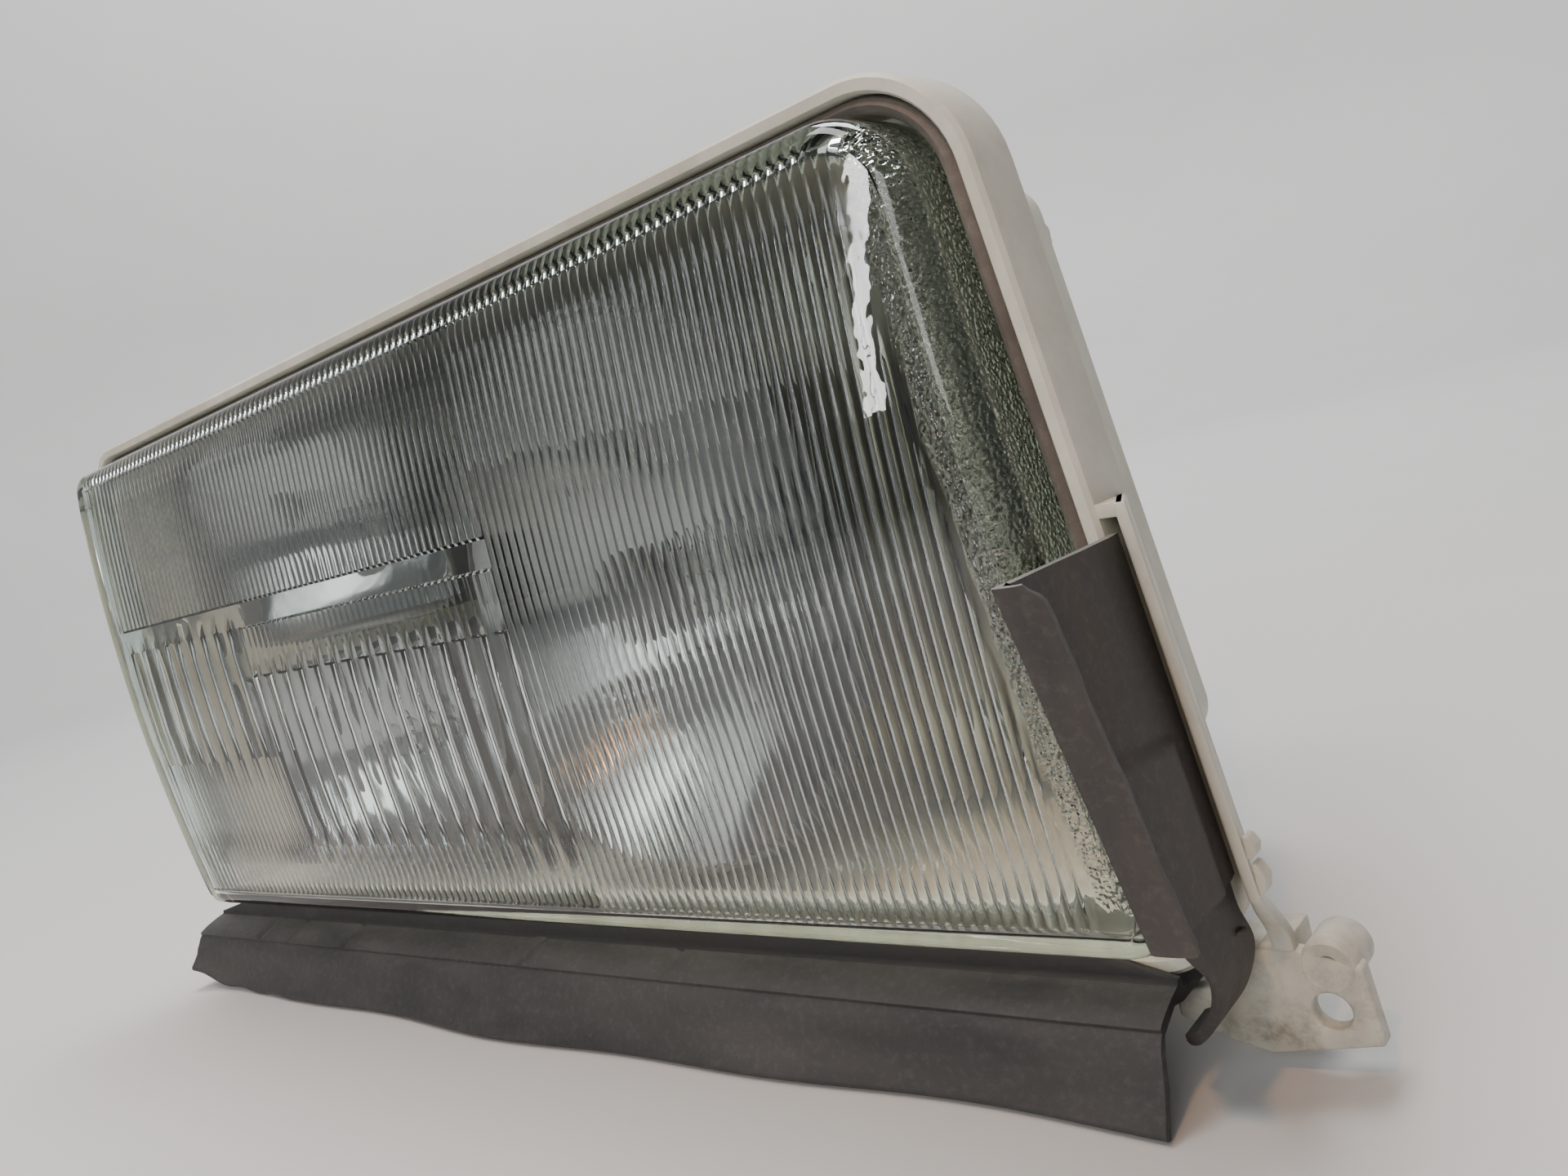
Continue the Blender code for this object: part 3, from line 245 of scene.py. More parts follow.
def moulded(name, base, second, roughness=0.5):
    pad = NodePad(name)
    pad.join(pad.mix(pad.ramp(pad.noise(45.0, 5.0), 0.0, 1.0, 0.35, 0.7), base, second),
             pad.shader.inputs["Base Color"])
    pad.join(pad.ramp(pad.noise(90.0), roughness - 0.1, roughness + 0.12, 0.3, 0.7),
             pad.shader.inputs["Roughness"])
    pad.bump(pad.noise(650.0, 2.0), 0.00008, 0.6)
    return pad.material


report("materials")
cream = creamPlastic()
lensLook = flutedGlass()
quartz = bulbGlass()
mirror = mirrorCoat()
bowlPaintAndRimShade = darkPaintAndRimShade()
gasketRubber = rubber("gasketRubber", (0.105, 0.088, 0.078), (0.23, 0.20, 0.175), 0.6)
sealRubber = rubber("sealRubber", (0.027, 0.024, 0.023), (0.105, 0.088, 0.078), 0.66,
                    (1.0, 1.0, 0.3))
cutRubber = rubber("cutRubber", (0.16, 0.16, 0.158), (0.27, 0.26, 0.25), 0.7)
skirtRubber = rubber("skirtRubber", (0.019, 0.019, 0.020), (0.085, 0.082, 0.080), 0.62,
                     (0.35, 1.0, 1.0))
# Near-black, nearly dust-free rubber for the skirt's leg: painted shade standing in for the deep
# shadow just under the glass
shadedLegRubber = rubber("shadedLegRubber", (0.007, 0.007, 0.008), (0.022, 0.021, 0.021), 0.4,
                     (0.35, 1.0, 1.0))
zincSteel = metal("zincSteel", (0.60, 0.60, 0.60), (0.42, 0.41, 0.39), 0.22, 0.42)
passivated = metal("passivatedSteel", (0.52, 0.46, 0.30), (0.40, 0.40, 0.36), 0.28, 0.48, 30.0)
nickel = metal("nickelBase", (0.62, 0.60, 0.56), (0.48, 0.46, 0.42), 0.2, 0.4)
brass = metal("brassBlades", (0.62, 0.47, 0.22), (0.45, 0.33, 0.16), 0.25, 0.45)
tungsten = metal("tungstenWire", (0.30, 0.29, 0.28), (0.22, 0.21, 0.20), 0.3, 0.45)
shieldBlack = metal("shieldBlack", (0.030, 0.030, 0.030), (0.075, 0.070, 0.065), 0.35, 0.6, 120.0,
                    None, 0.4)
blackPlastic = moulded("blackPlastic", (0.020, 0.020, 0.021), (0.042, 0.041, 0.040))
whitePlastic = moulded("whitePlastic", (0.66, 0.65, 0.60), (0.55, 0.53, 0.47), 0.42)


# mesh helpers
def makeObject(name, data, sharpAngle=38.0, recalc=True):
    mesh = bpy.data.meshes.new(name)
    if recalc:
        bmesh.ops.recalc_face_normals(data, faces=data.faces)
    data.to_mesh(mesh)
    data.free()
    mesh.shade_smooth()
    mesh.set_sharp_from_angle(angle=radians(sharpAngle))
    made = bpy.data.objects.new(name, mesh)
    bpy.context.scene.collection.objects.link(made)
    return made


def skinRings(name, rings, closed, sharpAngle=38.0, caps=True):
    data = bmesh.new()
    rows = [[data.verts.new(point) for point in ring] for ring in rings]
    pairs = list(zip(rows, rows[1:])) + ([(rows[-1], rows[0])] if closed else [])
    count = len(rows[0])
    for first, second in pairs:
        for i in range(count):
            j = (i + 1) % count
            data.faces.new((first[i], first[j], second[j], second[i]))
    if not closed and caps:
        data.faces.new(rows[0])
        data.faces.new(rows[-1])
    return makeObject(name, data, sharpAngle)


def roundCorners(corners, radii, steps):
    points = []
    total = len(corners)
    for i in range(total):
        here = Vector(corners[i])
        before = (Vector(corners[i - 1]) - here).normalized()
        after = (Vector(corners[(i + 1) % total]) - here).normalized()
        half = before.angle(after) / 2
        middle = here + (before + after).normalized() * radii[i] / sin(half)
        start = here + before * radii[i] * cos(half) / sin(half) - middle
        end = here + after * radii[i] * cos(half) / sin(half) - middle
        turn = start.angle(end)
        side = 1 if start.x * end.y - start.y * end.x > 0 else -1
        for k in range(steps):
            part = side * turn * k / (steps - 1)
            points.append((middle.x + start.x * cos(part) - start.y * sin(part),
                           middle.y + start.x * sin(part) + start.y * cos(part)))
    return points


def growCorners(corners, amount):
    moved = []
    total = len(corners)
    for i in range(total):
        here = Vector(corners[i])
        before = (here - Vector(corners[i - 1])).normalized()
        after = (Vector(corners[(i + 1) % total]) - here).normalized()
        first, second = Vector((before.y, -before.x)), Vector((after.y, -after.x))
        bisector = (first + second).normalized()
        moved.append(here + bisector * amount / bisector.dot(first))
    return moved


def outlineRing(corners, radii, amount, y, steps=14):
    grown = roundCorners(growCorners(corners, amount), [max(r + amount, 0.0008) for r in radii],
                         steps)
    return [(x, y, z) for x, z in grown]


def turned(name, centre, profile, sides=40, axis="y", closed=True, sharpAngle=38.0, caps=True):
    rings = []
    for radius, along in profile:
        ring = []
        for k in range(sides):
            a = 2 * pi * k / sides
            u, v = centre[0] + radius * cos(a), centre[1] + radius * sin(a)
            ring.append({"x": (along, u, v), "y": (u, along, v), "z": (u, v, along)}[axis])
        rings.append(ring)
    return skinRings(name, rings, closed, sharpAngle, caps)


def plate(name, outline, front, back):
    return skinRings(name, [[(x, y, z) for x, z in outline] for y in (front, back)], False)


def block(name, low, high):
    outline = [(low[0], low[2]), (high[0], low[2]), (high[0], high[2]), (low[0], high[2])]
    return plate(name, outline, low[1], high[1])


def roundWire(name, points, radius, closed, sides=12):
    path = [Vector(p) for p in points]
    total = len(path)
    rings = []
    normal = None
    for i, here in enumerate(path):
        ahead = path[(i + 1) % total] - here if closed or i < total - 1 else here - path[i - 1]
        behind = here - path[i - 1] if closed or i > 0 else ahead
        tangent = (ahead.normalized() + behind.normalized()).normalized()
        if normal is None:
            normal = tangent.orthogonal().normalized()
        normal = (normal - tangent * normal.dot(tangent)).normalized()
        side = tangent.cross(normal)
        rings.append([here + (normal * cos(2 * pi * k / sides) + side * sin(2 * pi * k / sides))
                      * radius for k in range(sides)])
    return skinRings(name, rings, closed)


def softEdges(piece, width, segments=2, angle=35.0):
    bevel = piece.modifiers.new("softEdges", "BEVEL")
    bevel.width = width
    bevel.segments = segments
    bevel.limit_method = "ANGLE"
    bevel.angle_limit = radians(angle)
    bevel.harden_normals = False


def bake(piece):
    # Turn the evaluated shape into the piece's own plain mesh
    graph = bpy.context.evaluated_depsgraph_get()
    mesh = bpy.data.meshes.new_from_object(piece.evaluated_get(graph))
    piece.modifiers.clear()
    piece.data = mesh
    return piece


def joinPieces(name, pieces):
    # Put several shells into one object, materials kept
    data = bmesh.new()
    looks = []
    for piece in pieces:
        bake(piece)
        start = len(data.faces)
        data.from_mesh(piece.data)
        data.faces.ensure_lookup_table()
        slots = list(piece.data.materials)
        for face in data.faces[start:]:
            look = slots[face.material_index] if slots else None
            if look not in looks:
                looks.append(look)
            face.material_index = looks.index(look)
        bpy.data.objects.remove(piece)
    mesh = bpy.data.meshes.new(name)
    data.to_mesh(mesh)
    data.free()
    for look in looks:
        mesh.materials.append(look)
    made = bpy.data.objects.new(name, mesh)
    bpy.context.scene.collection.objects.link(made)
    mesh.shade_smooth()
    mesh.set_sharp_from_angle(angle=radians(38))
    return made


def dress(piece, look):
    piece.data.materials.clear()
    piece.data.materials.append(look)
    return piece


def softPart(piece, look, width, segments=2):
    dress(piece, look)
    softEdges(piece, width, segments)
    return piece


def punchHole(piece, centre, radius, low, high, sides, axis):
    cutter = turned("cutter", centre, [(radius, low), (radius, high)], sides, axis, False)
    bore = piece.modifiers.new("hole", "BOOLEAN")
    bore.object = cutter
    bore.operation = "DIFFERENCE"
    bake(piece)
    bpy.data.objects.remove(cutter)


def settle(piece, body, look=None, stands=()):
    # Move a finished piece from the lamp's frame to the world and hand it to its body
    if piece.modifiers:
        bake(piece)
    if look is not None:
        dress(piece, look)
    piece.data.transform(Matrix.Translation(lampOrigin))
    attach(piece, body)
    for node in stands:
        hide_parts(node)
    return piece


# outlines shared by glass, gasket and housing
lensTop = glass["bottom"] + glass["height"]
lensMiddle = glass["bottom"] + glass["height"] / 2
lensCorners = [(-glass["halfWidth"], glass["bottom"]), (glass["halfWidth"], glass["bottom"]),
               (glass["halfWidth"] - glass["outerSlant"] * glass["height"], lensTop),
               (-glass["halfWidth"] - glass["innerSlant"] * glass["height"], lensTop)]
rearCorners = [(-0.190, 0.030), (0.148, 0.030), (0.130, 0.195), (-0.194, 0.192)]
hingeLine = (0.147, 0.052)
openingCorners = [(-0.150, 0.066), (0.088, 0.066), (0.088, 0.168), (-0.150, 0.168)]


def lensRing(amount, y):
    return outlineRing(lensCorners, glass["radii"], amount, y)


def rearRing(amount, y):
    return outlineRing(rearCorners, [0.012] * 4, amount, y)


def openingRing(amount, y):
    return outlineRing(openingCorners, [0.012] * 4, amount, y)


def openingRings(*steps):
    return [openingRing(amount, y) for amount, y in steps]


def outerEdge(z):
    return glass["halfWidth"] - glass["outerSlant"] * (z - glass["bottom"])


# fluted lens
def edgeDistance(x, z):
    # Signed distance from the rounded outline of the glass, negative inside
    sides = []
    total = len(lensCorners)
    for i in range(total):
        a, b = Vector(lensCorners[i]), Vector(lensCorners[(i + 1) % total])
        along = (b - a).normalized()
        sides.append((x - a.x) * along.y - (z - a.y) * along.x)
    far = np.maximum.reduce(sides)
    for i in range(total):
        r = glass["radii"][i]
        first, second = sides[i - 1] + r, sides[i] + r
        inCorner = (first > 0) & (second > 0)
        far = np.where(inCorner, np.sqrt(np.maximum(first, 0) ** 2 + np.maximum(second, 0) ** 2)
                       - r, far)
    return far


def reachEdge(x, z, dx, dz, inset, limit):
    # How far each point can go along its direction before it is inset from the outline
    low, high = np.zeros_like(x), np.full_like(x, limit)
    for _ in range(34):
        middle = (low + high) / 2
        inside = edgeDistance(x + dx * middle, z + dz * middle) < -inset
        low, high = np.where(inside, middle, low), np.where(inside, high, middle)
    return (low + high) / 2


def lensGrid(columns, shares, inset):
    # Points x, z of a grid whose columns stand upright inside the outline
    start = np.where(columns > 0.160, 0.0425, np.where(columns < -0.180, 0.182, lensMiddle))
    flat, one = np.zeros_like(columns), np.ones_like(columns)
    up = start + reachEdge(columns, start, flat, one, inset, 0.2)
    down = start - reachEdge(columns, start, flat, -one, inset, 0.2)
    z = down[:, None] + (up - down)[:, None] * shares[None, :]
    return np.repeat(columns[:, None], len(shares), axis=1), z


def bowedFace(z):
    reach = (z - lensMiddle) / (glass["height"] / 2)
    return -glass["bulge"] * (1 - reach * reach)


# heights where the pattern of the inner half changes
zone = {"foot": 0.0545, "split": 0.0855, "wideTop": 0.1120, "clearLow": 0.1280, "clearTop": 0.1360}


def flutePattern(x, z):
    # Depth, width and level of the pressing at each point of the inner face
    fine, wide = glass["fluteWidth"], glass["fluteWidth"] * 3
    depth, deep = glass["fluteDepth"], glass["wideDepth"]
    amount, width, level = np.full_like(x, depth), np.full_like(x, fine), np.zeros_like(x)
    left = x < glass["divider"] - 0.0001
    block = x < glass["blockEdge"] - 0.0001

    def between(low, top):
        return (z <= zone[top]) & (z > zone[low])

    zones = [(left & (z > zone["clearTop"]), depth * 0.72, fine, 0.0002),
             (left & between("clearLow", "clearTop"), 0.0, fine, 0.0011),
             (left & between("wideTop", "clearLow"), depth * 0.12, fine, 0.0003),
             (left & ~block & between("foot", "wideTop"), deep, wide, 0.0),
             (block & between("split", "clearLow"), deep * 0.85, wide, 0.0005),
             (block & between("foot", "split"), depth * 0.25, fine, 0.0009),
             (left & (z <= zone["foot"]), depth * 0.8, fine, 0.0004)]
    for where, howDeep, howWide, howHigh in zones:
        amount = np.where(where, howDeep, amount)
        width = np.where(where, howWide, width)
        level = np.where(where, howHigh, level)
    nearEdge = edgeDistance(x, z) + glass["border"] > -0.0004
    plain = nearEdge | (x > outerEdge(z) - glass["grainWidth"])
    return np.where(plain, 0.0, amount), width, np.where(plain, 0.0, level)


def startTree(name, **sockets):
    # A node tree with named inputs, and the material it will set
    tree = bpy.data.node_groups.new(name, "GeometryNodeTree")
    for socket, kind in (("Geometry", "Geometry"), *sockets.items(), ("Look", "Material")):
        tree.interface.new_socket(socket, in_out="INPUT", socket_type="NodeSocket" + kind)
    tree.interface.new_socket("Geometry", in_out="OUTPUT", socket_type="NodeSocketGeometry")
    return tree, tree.nodes, tree.links, tree.nodes.new("NodeGroupInput")


def endTree(tree, enter, geometry):
    real = tree.nodes.new("GeometryNodeRealizeInstances")
    coat = tree.nodes.new("GeometryNodeSetMaterial")
    leave = tree.nodes.new("NodeGroupOutput")
    tree.links.new(geometry, real.inputs["Geometry"])
    tree.links.new(real.outputs["Geometry"], coat.inputs["Geometry"])
    tree.links.new(enter.outputs["Look"], coat.inputs["Material"])
    tree.links.new(coat.outputs["Geometry"], leave.inputs["Geometry"])
    return tree


def fluteTree():
    # Geometry Nodes: pushes each point along its own way by an arched flute profile
    tree, nodes, links, enter = startTree("pressFlutes", Depth="Float", Crown="Float")

    def read(name, kind):
        node = nodes.new("GeometryNodeInputNamedAttribute")
        node.data_type = kind
        node.inputs["Name"].default_value = name
        return node.outputs["Attribute"]

    def maths(operation, *values):
        node = nodes.new("ShaderNodeMath")
        node.operation = operation
        for socket, value in zip(node.inputs, values):
            if isinstance(value, (int, float)):
                socket.default_value = value
            else:
                links.new(value, socket)
        return node.outputs[0]

    turn = maths("FRACT", read("fluteTurn", "FLOAT"))
    across = maths("ABSOLUTE", maths("SUBTRACT", maths("MULTIPLY", turn, 2.0), 1.0))
    arch = maths("SUBTRACT", 1.0, maths("POWER", across, enter.outputs["Crown"]))
    push = maths("MULTIPLY", maths("MULTIPLY", arch, read("fluteDepth", "FLOAT")),
                 enter.outputs["Depth"])
    push = maths("ADD", push, read("fluteLevel", "FLOAT"))
    scale = nodes.new("ShaderNodeVectorMath")
    scale.operation = "SCALE"
    links.new(read("fluteWay", "FLOAT_VECTOR"), scale.inputs[0])
    links.new(push, scale.inputs["Scale"])
    move = nodes.new("GeometryNodeSetPosition")
    links.new(enter.outputs["Geometry"], move.inputs["Geometry"])
    links.new(scale.outputs["Vector"], move.inputs["Offset"])
    return endTree(tree, enter, move.outputs["Geometry"])


def runTree(piece, tree, **values):
    # Fill a tree's named inputs by their identifiers and keep the result as a plain mesh
    modifier = piece.modifiers.new(tree.name, "NODES")
    modifier.node_group = tree
    for item in tree.interface.items_tree:
        if item.in_out == "INPUT" and item.name in values:
            modifier[item.identifier] = values[item.name]
    return bake(piece)


def makeLens():
    report("fluted lens")
    step = glass["fluteWidth"] / 6
    first, last = -0.1935, 0.1850
    low = int(np.ceil((first - glass["divider"]) / step))
    high = int(np.floor((last - glass["divider"]) / step))
    columns = glass["divider"] + step * np.arange(low, high + 1)
    changes = [z + beside for z in zone.values() for beside in (-0.0004, 0.0004)]
    rowHeights = sorted([0.0365, 0.0373, 0.045, 0.062, 0.074, 0.098, 0.120, 0.150, 0.163, 0.176,
                         0.1877, 0.1885] + changes)
    shares = (np.array(rowHeights) - rowHeights[0]) / (rowHeights[-1] - rowHeights[0])
    gridX, gridZ = lensGrid(columns, shares, 0.0065)
    shape = gridX.shape

    def loopOf(table):
        return np.concatenate([table[:, 0], table[-1, 1:-1], table[::-1, -1], table[0, -2:0:-1]])

    loopX, loopZ = loopOf(gridX), loopOf(gridZ)
    spineX = np.clip(loopX, -0.176, 0.150)
    spineZ = np.clip(loopZ, lensMiddle - 0.060, lensMiddle + 0.060)
    awayX, awayZ = loopX - spineX, loopZ - spineZ
    length = np.hypot(awayX, awayZ)
    awayX, awayZ = awayX / length, awayZ / length

    def loopAt(inset):
        far = reachEdge(spineX, spineZ, awayX, awayZ, inset, 0.06)
        return spineX + awayX * far, spineZ + awayZ * far

    # Inner skin: fluted face, fillet, wall; outer skin: face, fillet, wall.
    thick = glass["thick"]
    innerRings = [(0.0052, bowedEdge(0.0052) + thick + 0.0004), (0.0042, thick + 0.0014),
                  (0.0036, thick + 0.0034), (thick, 0.0100), (thick, glass["flangeBack"])]
    outerRings = [(0.0030, 0.0003), (0.0018, 0.0008), (0.0008, 0.0019), (0.0002, 0.0034),
                  (0.0, 0.0050), (0.0, 0.0130), (0.0, glass["flangeBack"])]
    data = bmesh.new()
    depthLayer = data.verts.layers.float.new("fluteDepth")
    turnLayer = data.verts.layers.float.new("fluteTurn")
    levelLayer = data.verts.layers.float.new("fluteLevel")
    grainLayer = data.verts.layers.float.new("grain")
    deepLayer = data.verts.layers.float.new("deepGlass")
    wayLayer = data.verts.layers.float_vector.new("fluteWay")
    amount, width, level = flutePattern(gridX, gridZ)

    def grainAt(x, z):
        near = outerEdge(z) - x
        return 1.0 if near < glass["grainWidth"] - 0.0025 and z > glass["bottom"] + 0.012 else 0.0

    inner = np.empty(shape, dtype=object)
    for i in range(shape[0]):
        for j in range(shape[1]):
            x, z = float(gridX[i, j]), float(gridZ[i, j])
            vert = data.verts.new((x, bowedFace(z) + thick, z))
            vert[depthLayer] = float(amount[i, j])
            vert[turnLayer] = (x - glass["divider"]) / float(width[i, j]) + 1000.0
            vert[levelLayer] = float(level[i, j])
            vert[wayLayer] = (0.0, 1.0, 0.0)
            vert[grainLayer] = grainAt(x, z)
            inner[i, j] = vert
    outerX, outerZ = lensGrid(np.clip(columns, -0.1945, 0.1868), shares, 0.0042)
    outer = np.empty(shape, dtype=object)
    for i in range(shape[0]):
        for j in range(shape[1]):
            x, z = float(outerX[i, j]), float(outerZ[i, j])
            outer[i, j] = data.verts.new((x, bowedFace(z), z))

    def grid(table, flip):
        for i in range(shape[0] - 1):
            for j in range(shape[1] - 1):
                corners = (table[i, j], table[i + 1, j], table[i + 1, j + 1], table[i, j + 1])
                data.faces.new(corners if flip else corners[::-1])

    grid(inner, True)
    grid(outer, False)

    def rings(start, table, isInner):
        loop = list(loopOf(table))
        made = [loop]
        for inset, y in start:
            ringX, ringZ = loopAt(inset)
            row = []
            for k in range(len(loop)):
                x, z = float(ringX[k]), float(ringZ[k])
                bow = bowedFace(z) * (1 - y / 0.004) if y < 0.004 and not isInner else 0.0
                vert = data.verts.new((x, y + bow, z))
                onTopWall = z > lensTop - 0.012 and y < 0.0225 and x < outerEdge(z) - 0.020
                if isInner and onTopWall:
                    vert[depthLayer] = glass["fluteDepth"] * 1.6
                    vert[turnLayer] = (x - glass["divider"]) / glass["fluteWidth"] + 1000.0
                    vert[wayLayer] = (0.0, 0.35, -1.0)
                vert[grainLayer] = grainAt(x, z) if isInner and y < 0.012 else 0.0
                vert[deepLayer] = min(y / 0.0035, 1.0)
                row.append(vert)
            made.append(row)
        for a, b in zip(made, made[1:]):
            for k in range(len(loop)):
                m = (k + 1) % len(loop)
                data.faces.new((a[k], a[m], b[m], b[k]))
        return made[-1]

    innerEnd = rings(innerRings, inner, True)
    outerEnd = rings(outerRings, outer, False)
    for k in range(len(innerEnd)):
        m = (k + 1) % len(innerEnd)
        data.faces.new((innerEnd[k], innerEnd[m], outerEnd[m], outerEnd[k]))
    bmesh.ops.recalc_face_normals(data, faces=data.faces)
    lens = makeObject("lens", data, 50.0, False)
    runTree(lens, fluteTree(), Depth=1.0, Crown=2.0, Look=lensLook)
    lens.data.shade_smooth()
    lens.data.set_sharp_from_angle(angle=radians(32))
    settle(lens, "housing", None, ["lens_glass"])


def bowedEdge(inset):
    return bowedFace(glass["bottom"] + inset)


# housing
groove = {"outer": 0.0042, "rim": 0.0078, "inner": -0.0042, "front": 0.012, "floor": 0.0245}


def makeHousing():
    report("housing")
    g = groove
    rings = [lensRing(g["rim"], g["front"] + 0.0009), lensRing(g["rim"], 0.0272),
             lensRing(g["rim"] - 0.0007, 0.0282), lensRing(0.0040, 0.0312),
             lensRing(0.0033, 0.0322), rearRing(0.0, 0.128), rearRing(-0.0004, 0.1375),
             rearRing(-0.0018, 0.1396), rearRing(-0.0030, 0.1400), openingRing(0.0012, 0.1400),
             openingRing(0.0006, 0.1397), openingRing(0.0, 0.1385), openingRing(0.0, 0.137),
             rearRing(-0.005, 0.137), rearRing(-0.003, 0.126), lensRing(0.0, 0.0325),
             lensRing(0.0, g["floor"] + 0.003), lensRing(g["inner"], g["floor"] + 0.003),
             lensRing(g["inner"], g["floor"]), lensRing(g["outer"], g["floor"]),
             lensRing(g["outer"], g["front"] + 0.0008),
             lensRing(g["outer"] + 0.0005, g["front"] + 0.0001),
             lensRing(g["rim"] - 0.0009, g["front"])]
    shell = dress(skinRings("housingShell", rings, True, 30.0), cream)
    details = [shell]
    wall = {"low": 0.0385, "top": 0.1136, "out": 0.0150, "sheet": 0.0024, "front": 0.0102,
            "back": 0.0352, "lean": 0.0110}

    def alongEdge(name, low, high, section, soft, rows=12):
        stack = []
        for k in range(rows + 1):
            z = low + (high - low) * k / rows
            stack.append([(outerEdge(z) + away, y, z) for away, y in section])
        return softPart(skinRings(name, stack, False), cream, soft)

    inside, out, lean = wall["out"] - wall["sheet"], wall["out"], wall["lean"]
    front, back, rim = wall["front"], wall["back"], g["rim"]
    flange = [(inside, front), (out, front), (out - lean, back), (inside - lean, back)]
    ledge = [(rim - 0.001, front + 0.003), (out - 0.0006, front + 0.0003),
             (out - lean, back - 0.0006), (rim - 0.003, back - 0.003)]
    details.append(alongEdge("sideWall", wall["low"], wall["top"], flange, 0.0006))
    details.append(alongEdge("sideLedge", wall["top"] - 0.0026, wall["top"], ledge, 0.0007, 2))
    for z, size in ((0.0425, 0.0030), (0.0485, 0.0022)):
        spot = (outerEdge(z) + out - 0.0006, 0.0128)
        tag = [(spot[0], z - size), (spot[0] + 0.0016, z - size * 0.7),
               (spot[0] + 0.0021, z + size * 0.2), (spot[0] + 0.0010, z + size),
               (spot[0], z + size * 1.1)]
        details.append(softPart(plate("tornTag", tag, 0.0112, 0.0150), cream, 0.0004, 3))
    earOutline = [(0.1780, 0.0100), (0.1885, 0.0056), (0.1950, 0.0038), (0.2163, 0.0075),
                  (0.2150, 0.0226), (0.2040, 0.0250), (0.1960, 0.0250), (0.1950, 0.0234),
                  (0.1862, 0.0234), (0.1862, 0.0165), (0.1780, 0.0160)]
    ear = dress(plate("ear", earOutline, 0.020, 0.024), cream)
    punchHole(ear, (0.208, 0.0135), 0.0035, 0.015, 0.045, 40, "y")
    softEdges(ear, 0.0007, 3)
    details.append(ear)
    section = ((inside + 0.0002, 0.0104), (out - 0.0002, 0.0104), (out - 0.0048, 0.0208),
               (inside - 0.0048, 0.0208))
    footOfWall = [(outerEdge(0.0405) + away, y) for away, y in section]
    rootOfEar = [(0.1992, 0.0204), (0.2034, 0.0204), (0.2034, 0.0236), (0.1992, 0.0236)]
    stack = [[(x, y, 0.0235) for x, y in rootOfEar]]
    for k in range(9):
        share = ease(k / 8)
        stack.append([(a[0] + (b[0] - a[0]) * share, a[1] + (b[1] - a[1]) * share,
                       0.0256 + 0.0149 * k / 8) for a, b in zip(rootOfEar, footOfWall)])
    details.append(softPart(skinRings("earBracket", stack, False), cream, 0.0006))
    gussetOutline = [(0.1880, 0.0110), (0.2010, 0.0145), (0.2010, 0.0250), (0.1960, 0.0250),
                     (0.1950, 0.0232), (0.1880, 0.0232)]
    gusset = softPart(plate("earGusset", gussetOutline, 0.0232, 0.037), cream, 0.0006)
    boss = [(0.0021, 0.0204), (0.0046, 0.0199), (0.0050, 0.0203), (0.0052, 0.0212),
            (0.0052, 0.0308), (0.0046, 0.0318), (0.0022, 0.0320), (0.0021, 0.0300)]
    details += [gusset, dress(turned("earBoss", (0.2090, 0.0222), boss, 40), cream)]
    for x in (-0.135, 0.105):
        foot = [(x - 0.016, 0.032), (x - 0.012, 0.0006), (x - 0.0114, 0.0), (x + 0.0114, 0.0),
                (x + 0.012, 0.0006), (x + 0.016, 0.032), (x + 0.0105, 0.032), (x + 0.009, 0.004),
                (x - 0.009, 0.004), (x - 0.0105, 0.032)]
        made = dress(plate("foot", foot, 0.052, 0.122), cream)
        punchHole(made, (x, 0.087), 0.0035, -0.002, 0.006, 32, "z")
        softEdges(made, 0.0005)
        details.append(made)
        for y in (0.0535, 0.1205):
            rib = block("footRib", (x - 0.0135, y - 0.0011, 0.016), (x + 0.0135, y + 0.0011, 0.031))
            details.append(dress(rib, cream))
    for x in (-0.152, 0.083):
        side = ((0.1395, 0.0475), (0.1500, 0.0485), (0.1500, 0.0555), (0.1395, 0.0565))
        lug = [[(px, y, z) for y, z in side] for px in (x, x + 0.006)]
        details.append(softPart(skinRings("coverLug", lug, False), cream, 0.0006))
    for x in (-0.070, 0.008):
        arm = block("bailCatch", (x - 0.006, 0.139, 0.1771), (x + 0.006, 0.152, 0.1796))
        details.append(softPart(arm, cream, 0.0004))
    settle(joinPieces("housingBody", details), "housing", None, ["housing_shell"])


def ribTree():
    # Geometry Nodes: moulded ribs, one box on each point of a line, joined with nothing else
    tree, nodes, links, enter = startTree("mouldedRibs", Count="Int", Start="Vector", Step="Vector",
                                          Size="Vector")
    line = nodes.new("GeometryNodeMeshLine")
    line.mode = "OFFSET"
    links.new(enter.outputs["Count"], line.inputs["Count"])
    links.new(enter.outputs["Start"], line.inputs["Start Location"])
    links.new(enter.outputs["Step"], line.inputs["Offset"])
    cube = nodes.new("GeometryNodeMeshCube")
    links.new(enter.outputs["Size"], cube.inputs["Size"])
    spread = nodes.new("GeometryNodeInstanceOnPoints")
    links.new(line.outputs["Mesh"], spread.inputs["Points"])
    links.new(cube.outputs["Mesh"], spread.inputs["Instance"])
    return endTree(tree, enter, spread.outputs["Instances"])


ribs = ribTree()


def ribRow(name, look, body, count, start, step, size, soft=0.0004):
    mesh = bpy.data.meshes.new(name)
    mesh.from_pydata([(0, 0, 0)], [], [])
    piece = bpy.data.objects.new(name, mesh)
    bpy.context.scene.collection.objects.link(piece)
    runTree(piece, ribs, Count=count, Start=start, Step=step, Size=size, Look=look)
    softEdges(piece, soft)
    settle(piece, body)
    return piece


